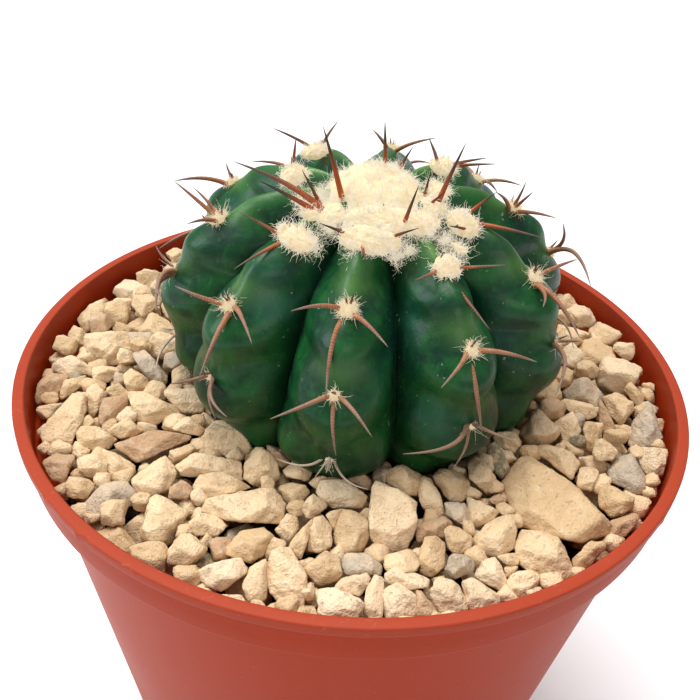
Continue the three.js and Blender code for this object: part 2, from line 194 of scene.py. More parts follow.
# name: place, aim, width, height in metres, watts, colour
LIGHTS = {
    "ceiling": ((-0.1, 0.25, 1.0), (0, 0, 0.1), 0.6, 0.5, 4.2, (1.0, 0.985, 0.95)),
    "window": ((-0.75, -0.15, 0.55), (0, 0, 0.1), 0.4, 0.6, 4.2, (0.80, 0.93, 1.0)),
    "front": ((0.35, -0.8, 0.6), (0, 0, 0.08), 0.6, 0.4, 1.4, (1.0, 0.97, 0.93)),
}
for name, (place, aim, width, height, watts, colour) in LIGHTS.items():
    lamp = bpy.data.lights.new(name, "AREA")
    lamp.shape, lamp.size, lamp.size_y = "RECTANGLE", width, height
    lamp.energy, lamp.color = watts, colour
    hung = bpy.data.objects.new(name, lamp)
    turn = (Vector(aim) - Vector(place)).to_track_quat("-Z", "Y").to_matrix().to_4x4()
    hung.matrix_world = Matrix.Translation(place) @ turn
    bpy.context.scene.collection.objects.link(hung)

SKY_LIGHT, SKY_SPREAD, SKY_TILT = 2.3, math.radians(50), (math.radians(-16), math.radians(-12), 0)
ROOM_LIGHT, ROOM_COLOUR = 0.36, (0.97, 0.98, 1, 1)

sky = bpy.data.lights.new("sky", "SUN")
sky.energy, sky.angle = SKY_LIGHT, SKY_SPREAD
open_sky = bpy.data.objects.new("sky", sky)
open_sky.rotation_euler = SKY_TILT
bpy.context.scene.collection.objects.link(open_sky)
room = bpy.data.worlds.new("room")
room.use_nodes = True
room.node_tree.nodes["Background"].inputs["Color"].default_value = ROOM_COLOUR
room.node_tree.nodes["Background"].inputs["Strength"].default_value = ROOM_LIGHT
bpy.context.scene.world = room

# ---- Pot ------------------------------------------------------------------------------------
# One thin-walled injection moulding in terracotta-coloured polypropylene: a flat lip on a short
# collar, a tapered body and a floor with six drainage holes inside a foot ring. Trimming left
# small burrs on the lip's outer edge, and handling has marked it with pale specks.

POT_HEIGHT, RIM_RADIUS = 100, 60
LIP_INNER_RADIUS, LIP_THICKNESS, LIP_ROUND = 58.1, 2, 0.35
COLLAR_RADIUS, COLLAR_BOTTOM, COLLAR_STEP = 59, 91.5, 0.5
BODY_TOP_RADIUS, FOOT_RADIUS, WALL = 56.8, 45.5, 1.3
FLOOR_UNDERSIDE, FLOOR_TOP, FOOT_RING = 3, 4.6, 4
DRAIN_RADIUS, DRAIN_CIRCLE, DRAIN_COUNT = 4, 30, 6
POT_SIDES, DRAIN_SIDES, DRILL_LENGTH = 300, 40, 8.0
# How the rim is out of round: how many swells there are round it, where they start and their size.
RIM_SWELLS = ((2, 40, 0.10), (5, 0, 0.05))
BURR_WIDTH = 0.55  # degrees
BURRS = {-135.2: 0.25, -133.9: -0.15, -127.2: 0.3, -125.6: -0.2, -124.8: 0.15, -37.6: 0.2,
         -39.0: -0.1, -86: 0.1}  # compass angle: size
POT_COLOUR, POT_DEEP = (0.39, 0.037, 0.006), (0.30, 0.025, 0.003)
POT_BLOOM, POT_DUST = (0.54, 0.11, 0.042), (0.44, 0.12, 0.08)


def unit(ways):
    """The same ways, each of them one long."""
    return ways / np.linalg.norm(ways, axis=-1, keepdims=True)


def bell(value, middle, width):
    """1 where value is middle, and falling to 0 on both sides of it."""
    return np.exp(-(((value - middle) / width) ** 2))


def polar(radius, angle, height):
    """Points from their distance and direction from an upright axis, and their height."""
    return np.stack(np.broadcast_arrays(radius * np.cos(angle), radius * np.sin(angle), height), -1)


def ring_faces(rings, sides):
    """The faces between rings of points, each ring and the next one up, and those of both ends."""
    row, column = np.arange(rings - 1)[:, None] * sides, np.arange(sides)
    after = (column + 1) % sides
    quads = np.stack([row + column, row + after, row + sides + after, row + sides + column], -1)
    ends = [column[::-1].tolist(), ((rings - 1) * sides + column).tolist()]
    return quads.reshape(-1, 4), ends


def body_radius(height):
    return FOOT_RADIUS + (BODY_TOP_RADIUS - FOOT_RADIUS) * height / COLLAR_BOTTOM


def rounded(corners, size, steps=3):
    """An outline of (radius, height) corners, each cut back by size and rounded over."""
    corners = [np.array(c, float) for c in corners]
    outline = [corners[0]]
    for before, corner, after in zip(corners, corners[1:], corners[2:]):
        cuts = [min(size, 0.45 * np.linalg.norm(p - corner)) for p in (before, after)]
        start, end = (corner + unit(p - corner) * cut for p, cut in zip((before, after), cuts))
        for t in np.linspace(0, 1, steps + 1):
            outline.append((1 - t) ** 2 * start + 2 * t * (1 - t) * corner + t * t * end)
    return np.array(outline + [corners[-1]])


def stretched(outline, longest):
    """The same outline with points added where two are further apart than longest."""
    points = [outline[0]]
    for start, end in zip(outline, outline[1:]):
        steps = max(1, math.ceil(np.linalg.norm(end - start) / longest))
        points += [start + (end - start) * k / steps for k in range(1, steps + 1)]
    return np.array(points)


inner_step, lip_underside = COLLAR_BOTTOM - WALL, POT_HEIGHT - LIP_THICKNESS
pot_outline = stretched(rounded([
    (0.5, FLOOR_TOP), (body_radius(FLOOR_TOP) - WALL, FLOOR_TOP),
    (body_radius(inner_step) - WALL, inner_step), (COLLAR_RADIUS - WALL, inner_step + 1.6),
    (LIP_INNER_RADIUS, POT_HEIGHT - 0.6), (LIP_INNER_RADIUS, POT_HEIGHT), (RIM_RADIUS, POT_HEIGHT),
    (RIM_RADIUS, lip_underside + 0.2), (COLLAR_RADIUS + 0.1, lip_underside),
    (COLLAR_RADIUS, lip_underside - 0.3),
    (COLLAR_RADIUS, COLLAR_BOTTOM + COLLAR_STEP), (BODY_TOP_RADIUS, COLLAR_BOTTOM), (FOOT_RADIUS, 0),
    (FOOT_RADIUS - FOOT_RING, 0), (FOOT_RADIUS - FOOT_RING - 0.4, FLOOR_UNDERSIDE),
    (0.5, FLOOR_UNDERSIDE),
], LIP_ROUND), 4.0)


def turned_shell(outline, sides):
    """Points and faces of an outline turned about the axis, closed at both ends on the axis."""
    rings = polar(outline[:, :1], np.arange(sides) * 2 * np.pi / sides, outline[:, 1:])
    quads, ends = ring_faces(len(outline), sides)
    return rings.reshape(-1, 3), quads[:, ::-1].tolist() + ends


points, faces = turned_shell(pot_outline, POT_SIDES)
compass = np.degrees(np.arctan2(points[:, 1], points[:, 0]))
reach = np.hypot(points[:, 0], points[:, 1])
edge = (reach > RIM_RADIUS - 0.2) & (points[:, 2] > lip_underside - 0.2)
bulge = sum(size * np.sin(np.radians(swells * compass + start)) for swells, start, size in RIM_SWELLS)
for angle, size in BURRS.items():
    bulge += np.where(edge, size * bell(compass, angle, BURR_WIDTH), 0)
upper = np.clip(points[:, 2] / POT_HEIGHT, 0, 1)
points[:, :2] *= (1 + bulge * upper / np.maximum(reach, 1))[:, None]

plastic = Finish("pot_plastic", Specular_IOR_Level=0.09)
streaks = plastic.noise(0.006, place=plastic.place(1.0, 1.0, 0.12))
clouds = plastic.noise(0.02, detail=4)
specks = plastic.step(plastic.noise(0.0011, detail=2), 0.70, 0.76)
scuffs = plastic.step(plastic.noise(0.0035, detail=6, roughness=0.7, warp=1.5), 0.60, 0.72)
colour = plastic.mix(clouds * 0.5 + streaks * 0.35, POT_DEEP, POT_COLOUR)
colour = plastic.mix(scuffs * 0.22, colour, POT_BLOOM)
colour = plastic.mix(specks * 0.4, colour, POT_BLOOM)
colour = plastic.mix(plastic.carried("handled") * (0.2 + scuffs * 0.4), colour, POT_DUST)
grain = plastic.noise(0.0007, detail=2) * 0.5 + streaks * 0.5
plastic.wear(Base_Color=colour, Roughness=0.38 + scuffs * 0.15 + clouds * 0.12,
             Normal=plastic.bump(grain, 0.00006))

handled = np.clip((points[:, 2] - POT_HEIGHT + LIP_THICKNESS) / LIP_THICKNESS + 0.3, 0, 1)
pot = mesh_object("pot_shell", points * MM, faces, plastic.material, handled=handled)
drill_points, drill_faces = [], []
for drain in range(DRAIN_COUNT):
    tube, sides = turned_shell(np.array([(DRAIN_RADIUS, 0.0), (DRAIN_RADIUS, DRILL_LENGTH)]), DRAIN_SIDES)
    drill_faces += [[corner + len(drill_points) for corner in face] for face in sides]
    drill_points += (tube + polar(DRAIN_CIRCLE, 2 * math.pi * drain / DRAIN_COUNT, 0)).tolist()
drill_faces = [face[::-1] for face in drill_faces]
drill = mesh_object("drill", np.array(drill_points) * MM, drill_faces, plastic.material)
cut = pot.modifiers.new("drains", "BOOLEAN")
cut.object, cut.operation, cut.solver = drill, "DIFFERENCE", "EXACT"
bpy.context.view_layer.update()
drilled = bpy.data.meshes.new_from_object(pot.evaluated_get(bpy.context.evaluated_depsgraph_get()))
pot.modifiers.clear()
pot.data = drilled
bpy.data.objects.remove(drill)
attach(pot, "root")
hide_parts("pot")

# ---- Potting mix ----------------------------------------------------------------------------
# Dark, fine bark and peat that fills the pot below the stones. It shows only through the
# drainage holes and in the deepest gaps between the stones, so the solid itself is dressed.

MIX_DARK, MIX_LIGHT, MIX_FIBRE = (0.008, 0.005, 0.003), (0.075, 0.042, 0.024), (0.16, 0.095, 0.05)

peat = Finish("potting_mix", Roughness=0.95, Specular_IOR_Level=0.2)
crumbs, fibres = peat.noise(0.0022, detail=5, roughness=0.7), peat.noise(0.006, detail=3, warp=2.0)
shade = peat.mix(peat.step(crumbs, 0.35, 0.68), MIX_DARK, MIX_LIGHT)
shade = peat.mix(peat.step(fibres, 0.6, 0.72) * 0.6, shade, MIX_FIBRE)
peat.wear(Base_Color=shade, Normal=peat.bump(crumbs + fibres * 0.4, 0.0016))
mix_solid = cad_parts["potting_mix"]
mix_solid.data.materials.clear()
mix_solid.data.materials.append(peat.material)

# ---- Cactus body ----------------------------------------------------------------------------
# One grown body: a flattened globe with ten ribs that swell between their areoles, a dimpled
# crown and a taproot that goes down into the mix. Its skin is dark green, smooth and waxy.

RIBS, FIRST_RIB = 10, 263.3
BODY_RADIUS, BODY_HALF_HEIGHT = 35.6, 24.4
BODY_CENTRE, BODY_LEAN = (1.2, 2.1, 110.0), 4
FURROW_DEPTH, FURROW_SINK, RIB_ROUNDNESS = 0.27, 0.6, 2.3
SQUARENESS_ACROSS, SQUARENESS_UP = 0.93, 0.9  # exponents, 1 for an ellipsoid
CREST_SHARPNESS, AREOLE_NIP = 0.75, 0.32
# Between which latitudes the ribs and their chins run out, and the crests get sharper upwards.
RIBS_RUN_OUT, CHINS_RUN_OUT, CHINS_END, CRESTS_SHARPEN = (-54, -28), (-45, -25), (50, 75), (15, 60)
# Low down the ribs get broader and their furrows shallower, and the furrow left of the front rib
# runs outward by so many degrees.
FOOT_STARTS, FOOT_FULLNESS, FOOT_FURROW, FURROW_DRIFT = (10, -26), 0.9, 0.4, 2.5
FURROW_LINE, LINE_WIDTH, LINE_ENDS = 0.012, 0.07, (-50, -20)
AREOLE_SPACING = 27.5  # degrees of latitude
AREOLE_LATITUDES = np.array([14.7, 0, 9.5, 19.8, 8.8, 22, -2, 9.5, 17, 3])
# How far above its areole a rib is narrowest and its chin shallowest, in spacings.
NIP_RISE, CHIN_HEIGHT, CHIN_RISE = 0.06, 0.022, 0.12
LOBE_SWELL, LOBE_DROP, LOBE_CREASE, CREASE_AT, CREASE_WIDTH = 0.034, 0.08, 0.02, 0.45, 0.13
CROWN_DIMPLE, CROWN_DIMPLE_RADIUS = 3, 9
ROOT_OUTLINE = [(0.1, -57.2), (0.8, -56), (4, -34), (8, -23.5), (10, -21)]
SKIN_DEEP, SKIN_FRESH, SKIN_OLD = (0.001, 0.027, 0.012), (0.008, 0.095, 0.017), (0.014, 0.072, 0.010)
SKIN_RIDGE, SKIN_FURROW_SHADE = (0.095, 0.225, 0.05), (0.002, 0.018, 0.008)
SKIN_TEAL_REFLECTION, SKIN_STREAK = (0.010, 0.078, 0.052), (0.045, 0.16, 0.06)
SKIN_FRECKLE, SKIN_SCAR = (0.30, 0.42, 0.26), (0.11, 0.12, 0.05)

body_place = Matrix.Translation(Vector(BODY_CENTRE)) @ Matrix.Rotation(math.radians(BODY_LEAN), 4, "X")
body_turn = np.array(body_place.to_3x3())


def ramp(low, high, value):
    return np.clip((value - low) / (high - low), 0, 1)


def skin(compass, latitude):
    """Points of the ribbed skin in the body's own frame, with each point's height on its rib."""
    turn = (compass - FIRST_RIB) * RIBS / 360
    rib = np.round(turn)
    across = np.abs(turn - rib) * 2
    along = (latitude - AREOLE_LATITUDES[rib.astype(int) % RIBS]) / AREOLE_SPACING
    chins = ramp(*CHINS_RUN_OUT, latitude) * (1 - ramp(*CHINS_END, latitude))
    foot = ramp(*FOOT_STARTS, latitude)
    nip = AREOLE_NIP * chins * (1 + np.cos(2 * np.pi * (along + NIP_RISE)))
    sharp = CREST_SHARPNESS * ramp(*CRESTS_SHARPEN, latitude)
    rise = 1 - across ** (RIB_ROUNDNESS - sharp - nip + FOOT_FULLNESS * foot)
    furrow = FURROW_DEPTH * (1 - (1 - FOOT_FURROW) * foot) * ramp(*RIBS_RUN_OUT, latitude) * (1 - rise)
    line = FURROW_LINE * bell(across, 1, LINE_WIDTH) * (1 - 0.6 * foot) * ramp(*LINE_ENDS, latitude)
    scale = 1 - (furrow + line) - CHIN_HEIGHT * chins * rise * np.cos(2 * np.pi * (along - CHIN_RISE))
    flank = 4 * across ** 2 * (1 - across ** 2)
    lobe = (along + LOBE_DROP) % 1
    swell = LOBE_SWELL * np.cos(2 * np.pi * lobe) - LOBE_CREASE * bell(lobe, CREASE_AT, CREASE_WIDTH)
    scale = scale + chins * flank * swell
    sine = np.sin(np.radians(latitude))
    radius = BODY_RADIUS * np.cos(np.radians(latitude)) ** SQUARENESS_ACROSS * scale
    height = BODY_HALF_HEIGHT * np.sign(sine) * np.abs(sine) ** SQUARENESS_UP
    height = height * (1 - FURROW_SINK * (1 - scale))
    height = height - np.where(latitude > 0, CROWN_DIMPLE * bell(radius, 0, CROWN_DIMPLE_RADIUS), 0)
    angle = np.radians(compass - FURROW_DRIFT * foot * bell(turn, -0.5, 0.35))
    return polar(radius, angle, height), rise


def on_body(points):
    """From the body's own frame to the pot's, in millimetres."""
    return points @ body_turn.T + np.array(body_place.translation)


RIB_COLUMNS, SKIN_ROWS, SKIN_LATITUDES = 36, 170, (-62, 87)

steps = np.sin(np.linspace(-1, 1, RIB_COLUMNS + 1)[:-1] * np.pi / 2) / 2
turns = (np.arange(RIBS)[:, None] + steps).ravel()
columns, rows = np.meshgrid(FIRST_RIB + turns * 360 / RIBS, np.linspace(*SKIN_LATITUDES, SKIN_ROWS))
globe, rise = skin(columns, rows)
root_outline = np.array(ROOT_OUTLINE)
root = polar(root_outline[:, :1], np.radians(columns[:1]), root_outline[:, 1:])
rings = on_body(np.concatenate([root, globe]))
quads, ends = ring_faces(*rings.shape[:2])
along = ((rows - np.repeat(AREOLE_LATITUDES, RIB_COLUMNS)) / AREOLE_SPACING) % 1
ridge = bell(along, 0.22, 0.2) * rise ** 5 * ramp(0, 40, rows) + rise ** 9 * ramp(45, 75, rows)
# What each point carries: its height on the rib, its latitude, and how much of the pale ridge.
crest, latitude, ridge = (
    np.concatenate([np.full(root.shape[:2], at_root), values]).ravel()
    for at_root, values in ((0.0, rise), (-70.0, rows), (0.0, ridge)))

wax = Finish("cactus_skin", Specular_IOR_Level=0.2, Coat_Weight=0.2, Coat_Roughness=0.2)
patches, clouds = wax.noise(0.009, detail=3), wax.noise(0.0028, detail=4, roughness=0.65)
cells = wax.noise(0.0005, detail=1)
streaks = wax.noise(0.0011, detail=4, roughness=0.7, place=wax.place(1.0, 1.0, 0.22))
freckles = wax.step(wax.noise(0.0009, detail=1), 0.73, 0.79)
scars = wax.step(wax.noise(0.0035, detail=5, roughness=0.75), 0.66, 0.72)
low_down = 1 - wax.step(wax.carried("latitude"), -34, -2)
colour = wax.mix(wax.step(patches * 0.6 + clouds * 0.4, 0.38, 0.62) * 0.9, SKIN_DEEP, SKIN_FRESH)
# Painted reflection: soft teal patches stand in for the cool window's sheen on the waxy skin.
colour = wax.mix(wax.step(wax.noise(0.012, detail=1), 0.52, 0.72) * 0.55, colour, SKIN_TEAL_REFLECTION)
colour = wax.mix(low_down * 0.45, colour, SKIN_OLD)
# Painted shade: the skin darkens down the flanks into each furrow.
colour = wax.mix((1 - wax.step(wax.carried("crest"), 0.0, 0.55)) * 0.8, colour, SKIN_FURROW_SHADE)
colour = wax.mix(wax.carried("ridge") * 0.65, colour, SKIN_RIDGE)
colour = wax.mix(wax.step(streaks, 0.52, 0.78) * 0.35, colour, SKIN_STREAK)
colour = wax.mix(freckles * 0.45, colour, SKIN_FRECKLE)
colour = wax.mix(scars * low_down * 0.5, colour, SKIN_SCAR)
wax.wear(Base_Color=colour, Roughness=0.30 + patches * 0.12 + streaks * 0.08,
         Normal=wax.bump(cells * 0.10 + clouds * 0.6 + wax.noise(0.005, detail=2), 0.00030))

body = mesh_object("cactus_body", rings.reshape(-1, 3) * MM, quads.tolist() + ends, wax.material,
                   crest=crest, latitude=latitude, ridge=ridge)
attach(body, "root")
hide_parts("cactus_stem")

# ---- Crushed stone --------------------------------------------------------------------------
# A top dressing of loose, angular crushed stone, mostly pale beige, with a few grey, white,
# mossy and reddish pieces. The stones were poured in and pressed flat, so each one rests on
# those below it, and the bed rises a little from the pot's wall to the cactus.

CELL, GRID_REACH = 0.4, 60.0  # of the grid that the stones' heights are kept on
BED_FLOOR, ROOT_ROOM = 88.3, 20
WALL_RADIUS_LOW, WALL_RADIUS_HIGH, WALL_LEDGE = 55.0, 57.4, 92.2
# The stones' top at the wall and at the plant, and how much higher it is in front and on the right.
BED_TOP_WALL, BED_TOP_PLANT, BED_TOP_FRONT, BED_TOP_RIGHT = 98.0, 98.9, 0.1, 1.0
STONE_SEED = 21
FULL_TURN, GOLDEN_TURN = 6.28, 2.39996  # radians
# The stones that lie loose, by size: typical length, its spread, how many, room below the top, and
# how much of one may be tucked under the stones that are placed where they are seen.
STONE_LAYERS = {
    "under": (7.5, 1.3, 190, 4.2, 1.0), "main": (7.8, 1.6, 330, 0.0, 0.04),
    "small": (5.6, 0.9, 230, 0.0, 0.06), "chips": (4.2, 0.7, 220, 2.3, 0.4),
    "grit": (2.9, 0.6, 300, 2.3, 0.4),
}
STONE_BREADTH, STONE_THICKNESS, STONE_FACETS = (0.62, 0.95), (0.45, 0.8), (9, 15)
FACET_STRAY, FACET_CUT = 0.22, (0.74, 1.0)
STONE_TILT, STONE_GAP, STONE_PROUD = 17, 0.15, 0.9
# How hard a place is looked for: turns of a stone, places to a turn, and stones in a row that fit
# nowhere. A place costs more where it leaves a hollow or lets the stone stand proud.
STONE_TURNS, STONE_PLACES, STONE_MISSES, HOLLOW_COST, PROUD_COST = 4, 90, 14, 0.9, 2
# Of the stones placed where they are seen: how much larger they are made, as their edges are rounded
# over, how deep their middles lie, half their thickness, and how far they are tilted to the front.
OUTLINE_EASE, STONE_SINK, STONE_HALF_THICKNESS, STONE_PROPPED = 1.03, 2.3, 3.1, 0.5
# Their bevelled edges: which way the facets face, how many, and where they cut.
STONE_BEVELS = ((1, 5, -0.45, 0.15), (-1, 4, -1.0, -0.7))
STONE_CRISPNESS, STONE_WAVES, STONE_WAVE_LENGTHS, STONE_ROUGHNESS = (45, 120), 12, (0.9, 3.6), 0.036
STONE_DARK, STONE_LIGHT, STONE_VEIN = (0.62, 0.415, 0.225), (0.81, 0.595, 0.37), (0.56, 0.36, 0.19)
STONE_FAIR, STONE_RUST_AND_SHADE, STONE_GREY = (0.86, 0.70, 0.51), (0.46, 0.27, 0.155), (0.40, 0.34, 0.28)
STONE_MOSS, STONE_DUST, STONE_PORE = (0.13, 0.13, 0.07), (0.90, 0.78, 0.58), (0.30, 0.20, 0.12)
# What a stone is made of: how grey, mossy, reddish and pale it is. The reddish brown is also painted
# shade, given to seen stones that lie in shadow.
STONE_KINDS = {"beige": (0, 0, 0, 0.0), "grey": (1, 0, 0, 0.2), "pale": (0, 0, 0, 0.55),
               "mossy": (0.5, 1, 0, 0.0), "rust": (0, 0, 1, 0.0)}
LOOSE_KINDS = (("beige", 0.80), ("pale", 0.08), ("grey", 0.05), ("rust", 0.05), ("mossy", 0.02))
